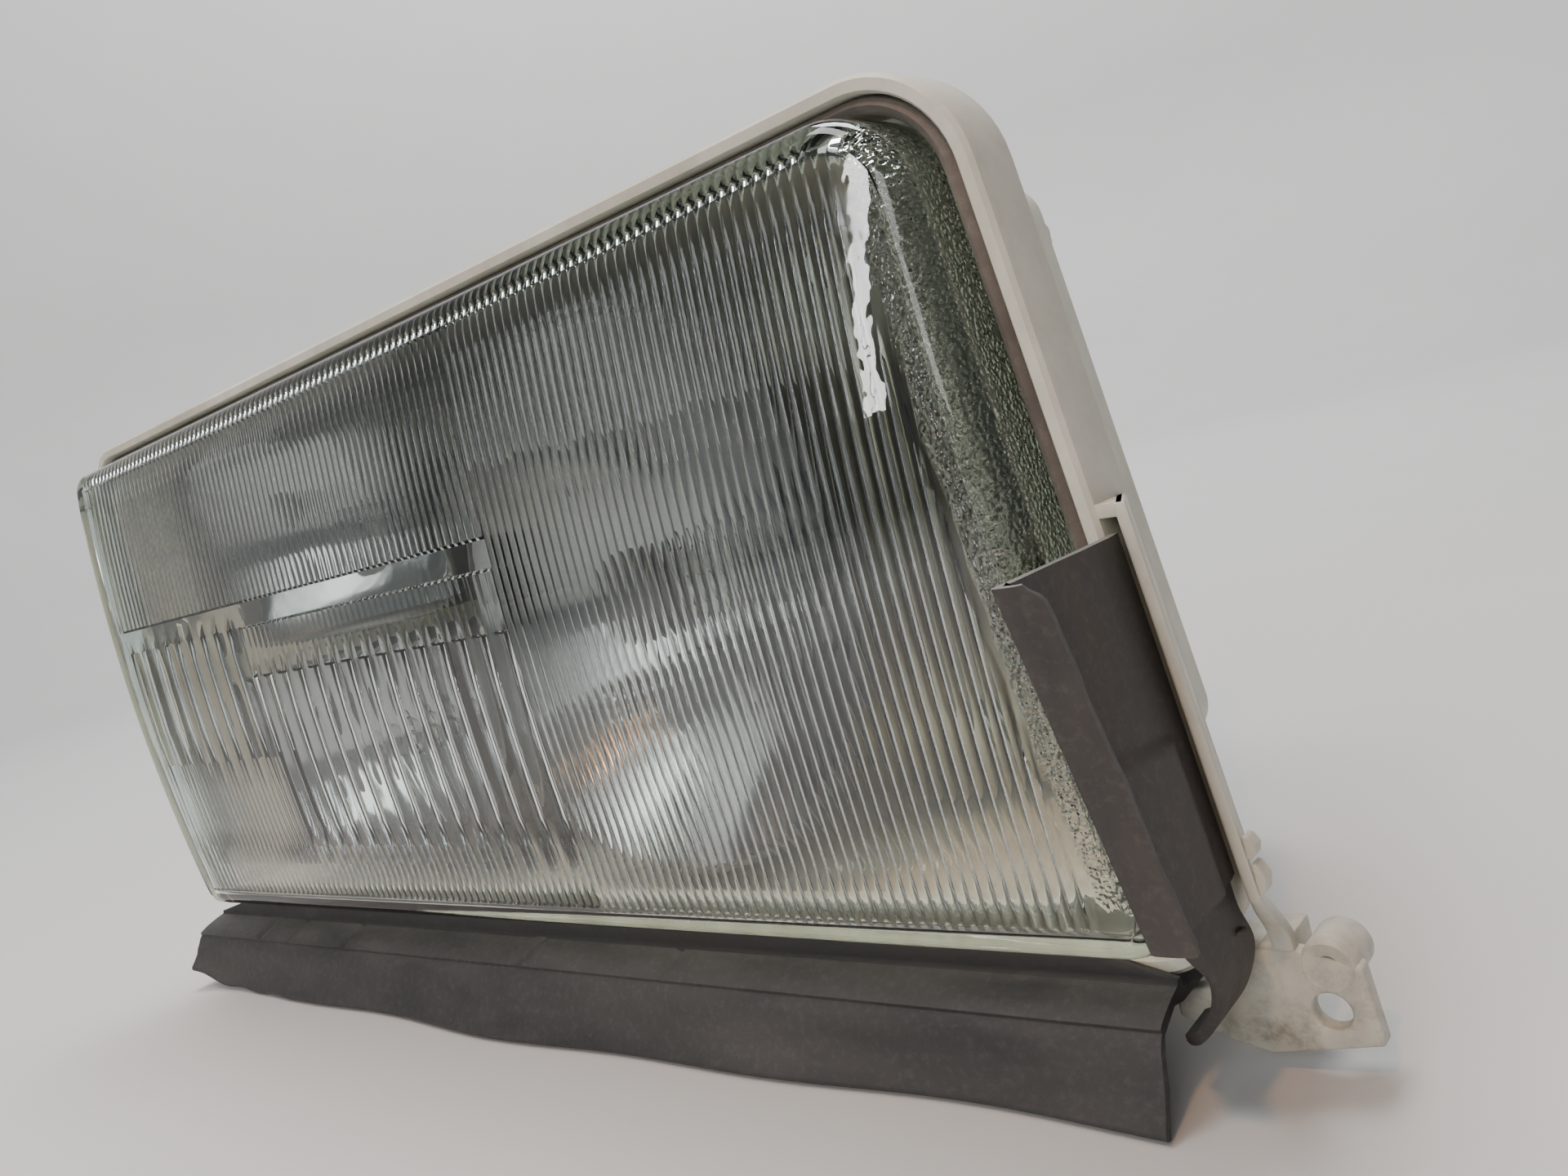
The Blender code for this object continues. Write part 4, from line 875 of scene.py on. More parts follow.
def makeGasket():
    report("gasket")
    gasket = {"inner": 0.0003, "outer": 0.0039, "front": 0.0135, "back": 0.0242}
    inner, outer, front, back = gasket.values()
    rings = [lensRing(inner, back), lensRing(inner, front + 0.0012),
             lensRing(inner + 0.0006, front + 0.0002),
             lensRing((inner + outer) / 2, front - 0.0006),
             lensRing(outer - 0.0007, front + 0.0003), lensRing(outer, front + 0.0014),
             lensRing(outer, back)]
    settle(skinRings("lensGasket", rings, True, 60.0), "housing", gasketRubber,
           ["lens_gasket"])


# rubber seals
def sheetRow(centreLine, half):
    left, right = [], []
    total = len(centreLine)
    for i, here in enumerate(centreLine):
        a, b = Vector(centreLine[max(i - 1, 0)]), Vector(centreLine[min(i + 1, total - 1)])
        way = (b - a).normalized()
        across = Vector((-way.y, way.x)) * half
        left.append(Vector(here) + across)
        right.append(Vector(here) - across)
    return left + right[::-1]


def curveThrough(points, perSpan):
    # A smooth line through a few points (Catmull-Rom)
    path = [Vector(p) for p in points]
    made = []
    for i in range(len(path) - 1):
        p0, p1, p2, p3 = path[max(i - 1, 0)], path[i], path[i + 1], path[min(i + 2, len(path) - 1)]
        for k in range(perSpan):
            t = k / perSpan
            made.append(0.5 * (2 * p1 + (p2 - p0) * t + (2 * p0 - 5 * p1 + 4 * p2 - p3) * t * t
                               + (3 * p1 - p0 - 3 * p2 + p3) * t ** 3))
    made.append(path[-1])
    return made


def ease(value):
    value = min(max(value, 0.0), 1.0)
    return value * value * (3 - 2 * value)


def makeSideSeal():
    report("side seal")
    seal = {"low": 0.0430, "high": 0.1079, "rows": 66, "half": 0.0009, "stepAtTip": 0.0735,
            "stepSlope": 0.115, "raise": 0.0013}
    rows = []
    for k in range(seal["rows"]):
        share = k / (seal["rows"] - 1)
        z = seal["low"] + (seal["high"] - seal["low"]) * share
        edge = outerEdge(z)
        tip = -0.0195 - 0.0095 * share
        wobble = 0.00025 * sin(share * 17.0) + 0.00015 * sin(share * 43.0)
        corner = ease((share - 0.955) / 0.045)

        def face(y, away):
            step = seal["stepAtTip"] - seal["stepSlope"] * (y + 0.0150)
            raised = seal["raise"] * ease((step - z) / 0.0016 + 0.5)
            crease = 0.00035 * max(0.0, 1 - abs(y + 0.0035) / 0.0025)
            return (edge + away + raised + crease, y)

        line = [(edge + 0.0092, 0.0135), (edge + 0.0098, 0.0100), (edge + 0.0099, 0.0070)]
        start = tip * 0.9
        for i in range(6):
            line.append(face(start + (0.0035 - start) * (5 - i) / 5, 0.0098 - 0.0008 * i / 5))
        line += [(edge + 0.0086, tip + 0.0010), (edge + 0.0090, tip + 0.0003),
                 (edge + 0.0100, tip + 0.0002),
                 (edge + 0.0130 - corner * 0.0008, tip + 0.0002 + wobble),
                 (edge + 0.0160 - corner * 0.0026, tip + 0.0007 + wobble)]
        rows.append([(p.x, p.y, z) for p in sheetRow(curveThrough(line, 3), seal["half"])])
    sheet = skinRings("sideSeal", rows, False, 45.0)
    for look in (sealRubber, cutRubber):
        sheet.data.materials.append(look)
    for face in sheet.data.polygons:
        face.material_index = 1 if len(face.vertices) > 4 and face.center.z > 0.1 else 0
    path = curveThrough([(0.1974, 0.0462), (0.1980, 0.0380), (0.1984, 0.0300), (0.1950, 0.0215),
                         (0.1900, 0.0158), (0.1868, 0.0142)], 6)
    spans = curveThrough([(-0.0150, 0.0112), (-0.0100, 0.0112), (-0.0040, 0.0140), (0.0000, 0.0145),
                          (0.0020, 0.0145), (0.0040, 0.0145)], 6)
    sides = sheetRow(path, 0.0010)
    count = len(path)
    stack = []
    for i in range(count):
        a, b, span = sides[i], sides[2 * count - 1 - i], spans[i]
        front, back = span.x, min(span.y, 0.0145)
        stack.append([(a.x, front + 0.0004, a.y), (a.x, back, a.y), (b.x, back, b.y),
                      (b.x, front + 0.0004, b.y), ((a.x + b.x) / 2, front, (a.y + b.y) / 2)])
    tab = dress(skinRings("sealTab", stack, False), sealRubber)
    arc = [(0.2008 - 0.00005 * abs(a - 90), 0.0085 + 0.0024 * cos(radians(a)),
            0.0318 + 0.0026 * sin(radians(a))) for a in range(-20, 171, 10)]
    crescent = dress(roundWire("sealMark", arc, 0.0005, False, 8), sealRubber)
    settle(joinPieces("sideSealPiece", [sheet, tab, crescent]), "housing", None,
           ["side_seal"])


def makeSkirt():
    report("skirt seal")
    skirt = {"left": -0.2035, "right": 0.1848, "stations": 190,
             "notches": (-0.158, -0.137, -0.100, -0.006, 0.052)}
    rows = []
    for k in range(skirt["stations"]):
        share = k / (skirt["stations"] - 1)
        x = skirt["left"] + (skirt["right"] - skirt["left"]) * share
        wave = 0.0016 * sin(share * 9.0) + 0.0010 * sin(share * 23.0)
        ripple = 0.0009 * sin(share * 95.0) * max(0.0, 1 - share / 0.22)
        curl = max(0.0, 1 - share / 0.10)
        lift = 0.006 * curl * curl + ripple
        leg = 0.0284 - 0.0050 * max(0.0, 1 - 16 * share, 1 - 22 * (1 - share))
        notch = max(max(0.0, 1 - abs(x - spot) / 0.0013) for spot in skirt["notches"])
        dip = 0.0011 * ease(notch * 1.6)
        front = [(0.0092, 0.0226), (0.0088, 0.0223 - dip), (0.0060, 0.0217 - dip),
                 (0.0022, 0.0205 - dip), (-0.0003, 0.0194 - dip), (-0.0012, 0.0188),
                 (-0.0009, 0.0180), (-0.0018, 0.0171), (-0.0030, 0.0150),
                 (-0.0037 + wave / 3, 0.0120 + lift / 3), (-0.0046 + wave / 2, 0.0090 + lift / 2),
                 (-0.0062 + wave * 0.8, 0.0052 + lift * 0.8), (-0.0078 + wave, 0.0022 + lift),
                 (-0.0079 + wave, 0.0015 + lift), (-0.0074 + wave, 0.0007 + lift),
                 (-0.0062 + wave, 0.0005 + lift)]
        back = [(-0.0045 + wave * 0.8, 0.0046 + lift * 0.8),
                (-0.0027 + wave / 2, 0.0082 + lift / 2), (-0.0012, 0.0145), (0.0002, 0.0172),
                (0.0062, 0.0198), (0.0100, 0.0189), (0.0300, 0.0189)]
        top = [(0.0300, 0.0207), (0.0118, 0.0207), (0.0114, 0.0211), (0.0112, leg - 0.0003),
               (0.0109, leg), (0.0099, leg), (0.0096, leg - 0.0003), (0.0094, 0.0236)]
        rows.append([(x, y, max(z, 0.0003)) for y, z in front + back + top])
    strip = skinRings("skirtSeal", rows, False, 60.0)
    for look in (skirtRubber, shadedLegRubber):
        strip.data.materials.append(look)
    # Painted shade: the forward faces of the leg under the glass take the near-black rubber in
    # place of the deep shadow there, and only the ledge carries dust
    for face in strip.data.polygons:
        legInShade = face.center.z > 0.0222 and face.normal.y < -0.5
        face.material_index = 1 if legInShade else 0
    settle(strip, "housing", None, ["skirt_seal"])


# reflectors and bulbs
bowl = {"focal": 0.0255, "vertex": 0.0801, "front": 0.030, "sheet": 0.0018, "collarBack": 0.0905}
lamps = {
    "dipped": {"centre": (0.055, 0.111), "round": 0.0715, "hole": 0.0130, "collar": 0.0270,
               "flange": 0.0210,
               "cap": 0.0125, "hinge": 0.0245, "leg": 0.0150, "bar": 0.0195, "glass": 0.0085,
               "tip": 0.040, "blades": 3},
    "main": {"centre": (-0.090, 0.1515), "round": 0.0, "hole": 0.0080, "collar": 0.0190,
             "flange": 0.0135,
             "cap": 0.0080, "hinge": 0.0170, "leg": 0.0105, "bar": 0.0130, "glass": 0.0058,
             "tip": 0.047,
             "blades": 1},
    "fog": {"centre": (-0.090, 0.0765), "round": 0.0, "hole": 0.0080, "collar": 0.0190,
            "flange": 0.0135,
            "cap": 0.0080, "hinge": 0.0170, "leg": 0.0105, "bar": 0.0130, "glass": 0.0058,
            "tip": 0.047,
            "blades": 1},
}


def bowlReach(lamp, angle):
    if lamp["round"]:
        return lamp["round"]
    a, b = abs(cos(angle)) / 0.064, abs(sin(angle)) / 0.0325
    return 1 / (a ** 10 + b ** 10) ** 0.1


def bowlDepth(radius):
    return bowl["vertex"] - radius * radius / (4 * bowl["focal"])


def makeBowl(beam, lamp):
    report(beam + " reflector")
    centre = lamp["centre"]
    sides = 128 if lamp["round"] else 176
    angles = [2 * pi * k / sides for k in range(sides)]

    def ring(radiusAt, depthAt):
        points = []
        for a in angles:
            r = radiusAt(a)
            points.append((centre[0] + r * cos(a), depthAt(r), centre[1] + r * sin(a)))
        return points

    def between(share, extra=0.0):
        return lambda a: lamp["hole"] + (bowlReach(lamp, a) + extra - lamp["hole"]) * share

    front, sheet = bowl["front"], bowl["sheet"]
    rings = [ring(between(k / 16), bowlDepth) for k in range(17)]
    rings += [ring(between(1.0, 0.0004), lambda r: front + 0.0002),
              ring(between(1.0, 0.0010), lambda r: front - 0.0008),
              ring(between(1.0, 0.0019), lambda r: front - 0.0008),
              ring(between(1.0, 0.0022), lambda r: front - 0.0002),
              ring(between(1.0, 0.0021), lambda r: front + 0.0012)]
    rings += [ring(between(1.0, sheet), lambda r: front + 0.0018)]
    rings += [ring(between(s, sheet), lambda r: bowlDepth(r) + sheet * 1.2)
              for s in (1.0, 0.85, 0.7)]
    rings += [ring(lambda a: lamp["collar"], lambda r: bowlDepth(r) + sheet * 1.2),
              ring(lambda a: lamp["collar"], lambda r: bowl["collarBack"] - 0.0004),
              ring(lambda a: lamp["collar"] - 0.0004, lambda r: bowl["collarBack"]),
              ring(lambda a: lamp["hole"], lambda r: bowl["collarBack"])]
    piece = skinRings(beam + "Bowl", rings, True, 30.0)
    piece.data.materials.append(mirror)
    piece.data.materials.append(bowlPaintAndRimShade)
    # Only the inner bowl is mirrored. The rim lip and the back take the dark paint, and on the rim
    # lip that paint is painted shade for the dark ring round the reflector
    for index, face in enumerate(piece.data.polygons):
        face.material_index = 0 if index // sides < 16 else 1
    extras = [piece]
    for side in (-1, 1):
        x = centre[0] + side * (lamp["leg"] - 0.0040)
        z = centre[1] + lamp["hinge"]
        lug = block("clipLug", (x - 0.0015, 0.0895, z - 0.0040), (x + 0.0015, 0.0966, z + 0.0020))
        extras.append(softPart(lug, bowlPaintAndRimShade, 0.0003))
    for dx, dz in screwSpots[beam]:
        spot = (centre[0] + dx, centre[1] + dz)
        start = bowlDepth(hypot(dx, dz)) + sheet
        side = [(0.0045, start - 0.0006), (0.0040, start + 0.0012), (0.0040, 0.0832),
                (0.0036, 0.0836), (0.0016, 0.0836), (0.0016, start)]
        extras.append(dress(turned("boss", spot, side, 24), bowlPaintAndRimShade))
    joined = joinPieces(beam + "Reflector", extras)
    settle(joined, "reflector_frame", None, [beam + "_reflector"])


screwSpots = {"dipped": ((-0.030, 0.034), (0.045, 0.0), (0.020, -0.040)),
              "main": ((-0.034, 0.0), (0.034, 0.0)), "fog": ((-0.034, 0.0), (0.034, 0.0))}


def makeFrameScrew(beam, number, dx, dz):
    centre = lamps[beam]["centre"]
    spot = (centre[0] + dx, centre[1] + dz)
    start = bowlDepth(hypot(dx, dz)) + 0.0048
    back = 0.0868
    head = [(0.0005, start), (0.0013, start + 0.001), (0.0013, back), (0.0031, back),
            (0.0033, back + 0.0003), (0.0033, back + 0.0012), (0.0028, back + 0.0019),
            (0.0019, back + 0.0024), (0.0010, back + 0.0025), (0.0009, back + 0.0013),
            (0.0002, back + 0.0012)]
    screw = turned(f"{beam}FrameScrew{number}", spot, head, 28, "y", False)
    settle(screw, "reflector_frame", zincSteel, [f"{beam}_frame_screw_{number}"])


def makeBulb(beam, lamp):
    centre = lamp["centre"]
    front = bowl["collarBack"] + 0.0003
    back = front + 0.0022
    inner = lamp["hole"] - 0.0003
    flange, cap = lamp["flange"], lamp["cap"]
    base = turned(beam + "Base", centre,
                  [(inner, bowl["vertex"] + 0.002), (inner, front), (flange - 0.0004, front),
                   (flange, front + 0.0004), (flange, back - 0.0004), (flange - 0.0004, back),
                   (cap + 0.0012, back), (cap, back + 0.0010), (cap, back + 0.0054),
                   (cap - 0.0006, back + 0.0060), (0.0008, back + 0.0060),
                   (0.0008, bowl["vertex"] + 0.0024), (inner - 0.0010, bowl["vertex"] + 0.002)], 56)
    parts = [dress(base, nickel)]
    for k in range(lamp["blades"]):
        x = centre[0] + (k - (lamp["blades"] - 1) / 2) * 0.0062
        blade = block("blade", (x - 0.0004, back + 0.0050, centre[1] - 0.004),
                      (x + 0.0004, back + 0.0150, centre[1] + 0.004))
        parts.append(softPart(blade, nickel, 0.00035))
    postFront = lamp["tip"] + 0.010
    for side in (-1, 1):
        x = centre[0] + side * 0.0022
        path = [(x, bowl["vertex"] + 0.003, centre[1]), (x, postFront + 0.003, centre[1]),
                (x - side * 0.0002, postFront + 0.0006, centre[1])]
        parts.append(dress(roundWire("post", path, 0.0004, False, 8), zincSteel))
    turns = []
    for k in range(91):
        share = k / 90
        a = share * 2 * pi * 9
        turns.append((centre[0] - 0.0021 + 0.0042 * share, postFront + 0.0006 + 0.0005 * cos(a),
                      centre[1] + 0.0005 * sin(a)))
    parts.append(dress(roundWire("coil", turns, 0.00010, False, 5), tungsten))
    settle(joinPieces(beam + "BulbBase", parts), "reflector_frame", None,
           [beam + "_bulb_base"])

    radius, wall, tip = lamp["glass"], 0.0007, lamp["tip"]
    end = bowl["vertex"] + 0.0017
    arc = (0.0, 0.2, 0.45, 0.7, 0.95, 1.2, 1.4, 1.52)
    profile = [(radius, end), (radius, (end + tip + radius) / 2)]
    profile += [(radius * cos(a), tip + radius - radius * sin(a)) for a in arc]
    profile += [((radius - wall) * cos(a), tip + radius - (radius - wall) * sin(a))
                for a in reversed(arc)]
    profile += [(radius - wall, (end + tip + radius) / 2), (radius - wall, end)]
    envelope = turned(beam + "BulbGlass", centre, profile, 40)
    settle(envelope, "reflector_frame", quartz, [beam + "_bulb_glass"])


def makeClip(beam, lamp):
    centre, leg = lamp["centre"], lamp["leg"]
    axisZ, barZ, y = centre[1] + lamp["hinge"], centre[1] - lamp["bar"], 0.0946
    corner = 0.002
    loop = []
    for sx, sz, first in ((-1, 1, 90), (-1, -1, 180), (1, -1, 270), (1, 1, 0)):
        cx = centre[0] + sx * (leg - corner)
        cz = (axisZ - corner) if sz > 0 else (barZ + corner)
        for step in range(0, 91, 15):
            a = radians(first + step)
            loop.append((cx + corner * cos(a), y, cz + corner * sin(a)))
    clip = roundWire(beam + "Clip", loop, 0.0008, True, 14)
    settle(clip, beam + "_bulb_clip", zincSteel, [beam + "_bulb_clip"])


def makeShield():
    centre = lamps["dipped"]["centre"]
    shield = {"radius": 0.0125, "sheet": 0.0008, "front": 0.0335, "back": 0.0440}
    r, sheet, front, back = shield.values()
    outside = [(r, back), (r, front + 0.0035), (r - 0.0006, front + 0.0018),
               (r - 0.0018, front + 0.0007), (r - 0.0035, front), (r * 0.4, front - 0.0006),
               (0.0004, front - 0.0008)]
    inside = [(0.0004, front), (r * 0.4, front + 0.0002), (r - 0.0035, front + sheet),
              (r - 0.0022, front + 0.0014), (r - sheet - 0.0004, front + 0.0024),
              (r - sheet, front + 0.0036), (r - sheet, back)]
    cup = dress(turned("cup", centre, outside + inside, 56), shieldBlack)
    x, z = centre[0], centre[1] - 0.0200
    bend = curveThrough([(x, 0.0790, z), (x, 0.0600, z), (x, 0.0470, z + 0.0012),
                         (x, 0.0420, z + 0.0045), (x, 0.0400, z + 0.0078)], 8)
    stalk = dress(roundWire("stalk", bend, 0.0011, False, 12), shieldBlack)
    settle(joinPieces("bulbShield", [cup, stalk]), "reflector_frame", None,
           ["dipped_bulb_shield"])


def makeParkingBulb():
    spot = (lamps["dipped"]["centre"][0] - 0.0290, lamps["dipped"]["centre"][1] - 0.0300)
    side = [(0.0030, 0.0600), (0.0030, 0.0590), (0.0048, 0.0586), (0.0051, 0.0590),
            (0.0051, 0.0884), (0.0042, 0.0898), (0.0010, 0.0900), (0.0010, 0.0600)]
    settle(turned("parkingHolder", spot, side, 32), "reflector_frame",
           blackPlastic, ["parking_bulb_holder"])
    radius = 0.0040
    profile = [(0.0022, 0.0582), (0.0026, 0.0570), (0.0034, 0.0556), (0.0039, 0.0520)]
    profile += [(radius * cos(k / 4), 0.0450 - radius * sin(k / 4)) for k in range(7)]
    envelope = turned("parkingBulb", spot, profile, 32, "y", False)
    settle(envelope, "reflector_frame", quartz, ["parking_bulb_glass"])


# pieces that keep their CAD shape, with broken edges
def refined(node, name, look, body, width=0.0003, segments=2, angle=30.0):
    # A welded copy of a CAD solid with soft edges, standing for it
    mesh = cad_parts[node].data.copy()
    data = bmesh.new()
    data.from_mesh(mesh)
    bmesh.ops.remove_doubles(data, verts=data.verts, dist=0.000005)
    bmesh.ops.dissolve_limit(data, angle_limit=radians(1.0), verts=data.verts, edges=data.edges)
    data.to_mesh(mesh)
    data.free()
    mesh.materials.clear()
    mesh.materials.append(look)
    piece = bpy.data.objects.new(name, mesh)
    bpy.context.scene.collection.objects.link(piece)
    softEdges(piece, width, segments, angle)
    bake(piece)
    piece.data.shade_smooth()
    piece.data.set_sharp_from_angle(angle=radians(40))
    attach(piece, body)
    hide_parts(node)
    return piece


def makeGear():
    report("aiming gear")
    refined("aim_frame", "aimFrame", passivated, "reflector_frame", 0.0004)
    refined("pivot_socket", "pivotSocket", whitePlastic, "pivot_socket")
    refined("pivot_stud_nut", "pivotNut", zincSteel, "housing", 0.0004)
    centre = (0.115, 0.046)
    ball = 0.0050
    turns = (0.1, 0.3, 0.6, 0.9, 1.2, 1.5, 1.8, 2.1, 2.4, 2.6)
    profile = [(ball * sin(a), 0.097 - ball * cos(a)) for a in turns]
    profile += [(0.0026, 0.1040), (0.0026, 0.1333), (0.0068, 0.1335), (0.0070, 0.1338),
                (0.0070, 0.1365), (0.0027, 0.1367), (0.0027, 0.1474), (0.0021, 0.1480)]
    settle(turned("pivotBall", centre, profile, 36, "y", False), "housing",
           zincSteel, ["pivot_ball_stud"])
    for name, x, z in (("vertical", 0.115, 0.180), ("horizontal", -0.168, 0.046)):
        refined(name + "_adjuster_nut", name + "Nut", whitePlastic, "reflector_frame")
        refined(name + "_adjuster_bush", name + "Bush", whitePlastic, "housing")
        refined(name + "_adjuster_knob", name + "Knob", whitePlastic, name + "_adjuster",
                0.0004)
        settle(threadedRod(name + "Screw", (x, z)), name + "_adjuster", zincSteel,
               [name + "_adjuster_screw"])


def threadedRod(name, centre):
    # A rod whose skin rises and falls along a helix: the coarse thread of the adjuster
    rod = {"core": 0.0034, "crest": 0.0040, "lead": 0.0020, "start": 0.0775, "end": 0.1300,
           "tail": 0.1545, "sides": 32}
    rings = []
    rows = int((rod["end"] - rod["start"]) / (rod["lead"] / 8))
    for k in range(rows + 1):
        y = rod["start"] + (rod["end"] - rod["start"]) * k / rows
        ring = []
        for s in range(rod["sides"]):
            a = 2 * pi * s / rod["sides"]
            phase = ((y - rod["start"]) / rod["lead"] - s / rod["sides"]) % 1.0
            rise = 1 - abs(phase * 2 - 1)
            fade = ease((y - rod["start"]) / 0.003) * ease((rod["end"] - y) / 0.002)
            r = rod["core"] + (rod["crest"] - rod["core"]) * (rise if fade >= 1 else rise * fade)
            ring.append((centre[0] + r * cos(a), y, centre[1] + r * sin(a)))
        rings.append(ring)
    crest, tail = rod["crest"], rod["tail"]
    angles = [2 * pi * s / rod["sides"] for s in range(rod["sides"])]
    for r, y in ((crest, rod["end"] + 0.001), (crest, tail - 0.0006), (crest - 0.0005, tail)):
        rings.append([(centre[0] + r * cos(a), y, centre[1] + r * sin(a)) for a in angles])
    return skinRings(name, rings, False, 50.0)


# rear cover
def makeRearCover():
    report("rear cover")
    outside = openingRings((0.0078, 0.1425), (0.008, 0.1428), (0.008, 0.1446), (0.0076, 0.1450),
                           (0.0036, 0.1450), (0.0030, 0.1454), (0.0012, 0.1482), (0.0004, 0.1505),
                           (-0.0010, 0.1525), (-0.0030, 0.1534), (-0.0046, 0.1535))
    step = openingRings((-0.0140, 0.1535), (-0.0146, 0.1531), (-0.0150, 0.1523), (-0.0160, 0.1520))
    inside = openingRings((-0.0060, 0.1505), (-0.0015, 0.1470), (-0.0005, 0.1425))
    data = bmesh.new()
    rows = [[data.verts.new(p) for p in ring] for ring in outside + step + inside]
    split = len(outside + step) - 1
    for a in range(len(rows)):
        b = (a + 1) % len(rows)
        if a == split:
            continue
        for i in range(len(rows[a])):
            j = (i + 1) % len(rows[a])
            data.faces.new((rows[a][i], rows[a][j], rows[b][j], rows[b][i]))
    data.faces.new(rows[split])
    data.faces.new(rows[split + 1])
    parts = [dress(makeObject("coverShell", data, 40.0), blackPlastic)]
    for x in (-0.1370, 0.0710):
        side = ((0.1428, 0.0605), (0.1452, 0.0605), (0.1504, 0.0530), (0.1436, 0.0530))
        web = [[(px, y, z) for y, z in side] for px in (x + 0.0004, x + 0.0101)]
        made = softPart(skinRings("knuckleWeb", web, False), blackPlastic, 0.0003)
        barrel = [(0.0023, x), (0.0036, x), (0.0040, x + 0.0004), (0.0040, x + 0.0101),
                  (0.0036, x + 0.0105), (0.0023, x + 0.0105)]
        parts += [made, dress(turned("knuckle", hingeLine, barrel, 32, "x"), blackPlastic)]
    settle(joinPieces("rearCover", parts), "rear_cover", None, ["rear_cover"])
    ribRow("coverRibs", blackPlastic, "rear_cover", 4, (-0.103, 0.1538, 0.117),
           (0.048, 0, 0), (0.002, 0.0040, 0.076))
    rings = openingRings((0.0022, 0.1403), (0.0032, 0.14034), (0.0042, 0.1406), (0.0052, 0.14034),
                         (0.0063, 0.1403), (0.0065, 0.1406), (0.0065, 0.1422), (0.0020, 0.1422),
                         (0.0020, 0.1406))
    settle(skinRings("coverGasket", rings, True, 50.0), "rear_cover", gasketRubber,
           ["rear_cover_gasket"])


def makeBail():
    bail = {"left": -0.1555, "right": 0.0935, "top": 0.1735, "corner": 0.0175, "wire": 0.0014}
    left, right, top, corner, wire = bail.values()
    y, z = hingeLine
    points = [(left, y, z + 0.0038), (left, y, z + 0.03), (left, y, top - corner)]
    points += [(left + corner - corner * cos(radians(a)), y,
                top - corner + corner * sin(radians(a))) for a in range(12, 90, 12)]
    points += [(left + corner, y, top), (right - corner, y, top)]
    points += [(right - corner + corner * sin(radians(a)), y,
                top - corner + corner * cos(radians(a))) for a in range(12, 90, 12)]
    points += [(right, y, top - corner), (right, y, z + 0.03), (right, y, z + 0.0038)]
    parts = [dress(roundWire("bailWire", points, wire, False, 18), zincSteel)]
    for x in (left, right):
        loop = [(x, y + 0.0035 * cos(2 * pi * k / 36), z + 0.0035 * sin(2 * pi * k / 36))
                for k in range(36)]
        parts.append(dress(roundWire("bailEye", loop, 0.0012, True, 14), zincSteel))
    settle(joinPieces("coverBail", parts), "cover_bail", None, ["cover_bail"])
    for side, low, high in (("inner", -0.1585, -0.1260), ("outer", 0.0695, 0.0965)):
        profile = [(0.0016, low), (0.0020, low + 0.0004), (0.0020, high - 0.0004), (0.0016, high)]
        settle(turned(side + "Pin", hingeLine, profile, 32, "x", False), "housing",
               zincSteel, [f"hinge_pin_{side}"])


def makeFittings():
    report("rear fittings")
    side = [(0.0034, 0.1342), (0.0034, 0.1403), (0.0073, 0.1403), (0.0075, 0.1406),
            (0.0075, 0.1474), (0.0071, 0.1486), (0.0060, 0.1496), (0.0040, 0.1500)]
    cap = turned("breather", (-0.172, 0.160), side, 48, "y", False)
    settle(cap, "housing", blackPlastic, ["breather_cap"])
    refined("connector_socket", "connectorSocket", blackPlastic, "housing", 0.0004)
    refined("connector_terminals", "connectorTerminals", brass, "housing", 0.0002)


# camera, floor, light
def lookAlong(azimuth, pitch, roll):
    # Camera axes for a view turned left of +Y by azimuth, down by pitch, and rolled
    forward = Vector((-sin(azimuth) * cos(pitch), cos(azimuth) * cos(pitch), -sin(pitch)))
    right = forward.cross(Vector((0, 0, 1))).normalized()
    down = forward.cross(right)
    turnedRight = right * cos(roll) + down * sin(roll)
    turnedDown = down * cos(roll) - right * sin(roll)
    axes = Matrix((turnedRight, -turnedDown, -forward)).transposed()
    return axes.to_4x4()


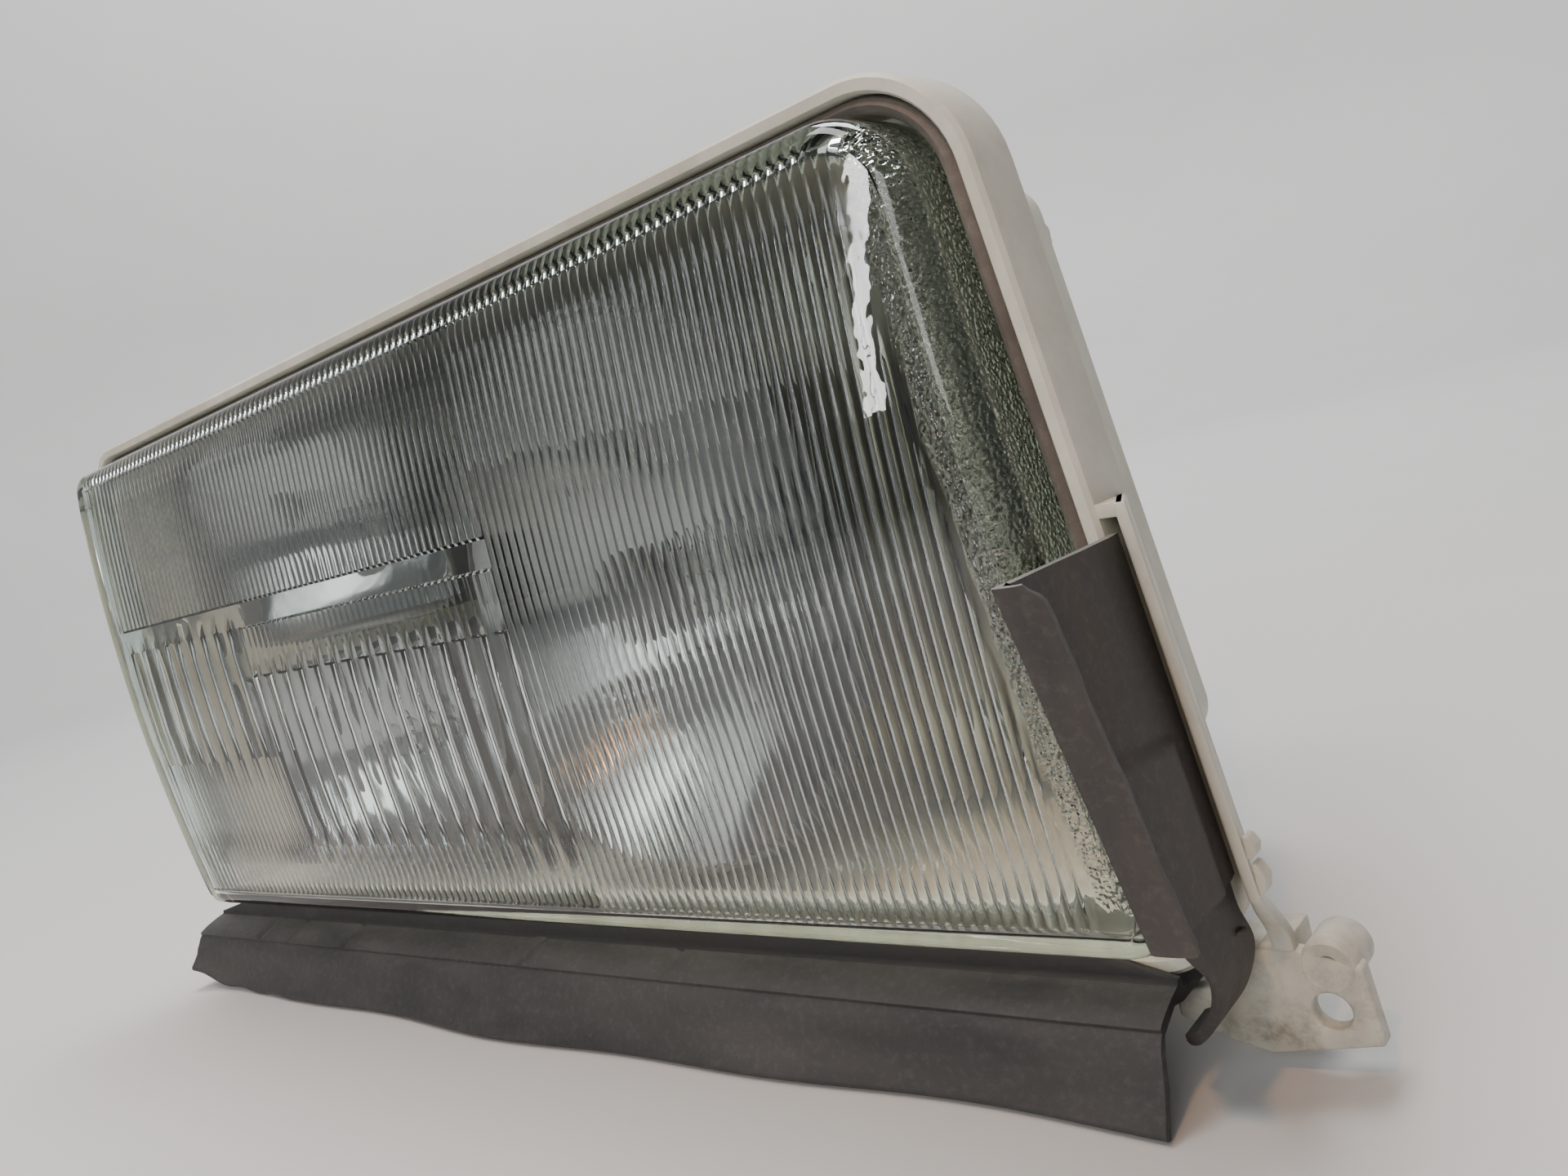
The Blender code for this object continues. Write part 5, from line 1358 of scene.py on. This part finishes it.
def makeStage():
    report("stage")
    stage = {"lens": 29.25, "azimuth": 40.92, "pitch": 5.32, "roll": 14.59,
             "place": (0.295, -0.1982, 0.1346)}
    view = bpy.data.objects.new("camera", bpy.data.cameras.new("camera"))
    view.data.sensor_width = 36.0
    view.data.lens = stage["lens"]
    view.data.clip_start = 0.01
    place = Matrix.Translation(Vector(stage["place"]) + lampOrigin)
    view.matrix_world = place @ lookAlong(*(radians(stage[k])
                                            for k in ("azimuth", "pitch", "roll")))
    bpy.context.scene.collection.objects.link(view)
    bpy.context.scene.camera = view

    sweep = {"near": 3.4, "bend": 0.9, "height": 4.2, "first": 50, "last": 212}
    bend, start = sweep["bend"], sweep["near"] - sweep["bend"]
    run = [(1.2, 0.0), (start, 0.0)]
    run += [(sweep["near"] - bend * (1 - sin(radians(a))), bend * (1 - cos(radians(a))))
            for a in range(10, 91, 10)]
    run.append((sweep["near"], sweep["height"]))
    data = bmesh.new()
    rows = []
    for step in range(0, 73):
        a = 2 * pi * step / 72
        wall = 1.0 if sweep["first"] <= step * 5 <= sweep["last"] else 0.0
        row = [(r * cos(a), r * sin(a), z * wall - 0.0002) for r, z in run]
        rows.append([data.verts.new(point) for point in row])
    for first, second in zip(rows, rows[1:]):
        for i in range(len(run) - 1):
            data.faces.new((first[i], first[i + 1], second[i + 1], second[i]))
    data.faces.new([row[0] for row in rows[:-1]])
    bmesh.ops.remove_doubles(data, verts=data.verts, dist=0.0001)
    floor = makeObject("floor", data, 60.0)
    pad = NodePad("paleFloor")
    pad.join(pad.mix(pad.noise(6.0), (0.56, 0.56, 0.56), (0.60, 0.60, 0.595)),
             pad.shader.inputs["Base Color"])
    pad.set(Roughness=0.6)
    dress(floor, pad.material)

    def softBox(name, place, target, size, power, tall=None, tint=(1.0, 1.0, 1.0)):
        lamp = bpy.data.lights.new(name, "AREA")
        lamp.shape = "RECTANGLE"
        lamp.size = size
        lamp.size_y = tall or size
        lamp.energy = power
        lamp.color = tint
        made = bpy.data.objects.new(name, lamp)
        made.location = place
        aim = Vector(target) - Vector(place)
        made.rotation_euler = aim.to_track_quat("-Z", "Y").to_euler()
        bpy.context.scene.collection.objects.link(made)

    softBox("overhead", (-0.25, -0.45, 1.5), (0, 0, 0.1), 0.55, 9.0)
    softBox("warmLamp", (0.35, -0.75, 1.25), (0, 0, 0.1), 0.08, 5.0, None, (1.0, 0.50, 0.24))
    softBox("faceFill", (0.55, -1.9, 0.95), (0, 0, 0.1), 1.0, 15.0)
    softBox("wallWash", (-0.6, 1.0, 3.2), (-1.6, 2.2, 0.2), 1.6, 140.0)
    for shift in (0.0, 0.045):
        softBox("tube", (-0.487 - shift, -0.985 - shift, 0.46), (0.17, 0.0, 0.15), 0.010, 0.35,
                0.42)
    world = bpy.data.worlds.new("room")
    bpy.context.scene.world = world
    world.use_nodes = True
    world.node_tree.nodes["Background"].inputs["Color"].default_value = (0.62, 0.64, 0.66, 1.0)
    world.node_tree.nodes["Background"].inputs["Strength"].default_value = 0.31


makeStage()
makeLens()
makeHousing()
makeGasket()
makeSideSeal()
makeSkirt()
for beam, lamp in lamps.items():
    makeBowl(beam, lamp)
    makeBulb(beam, lamp)
    makeClip(beam, lamp)
    for number, (dx, dz) in enumerate(screwSpots[beam], 1):
        makeFrameScrew(beam, number, dx, dz)
makeShield()
makeParkingBulb()
makeGear()
makeRearCover()
makeBail()
makeFittings()

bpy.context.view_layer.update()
report("done")
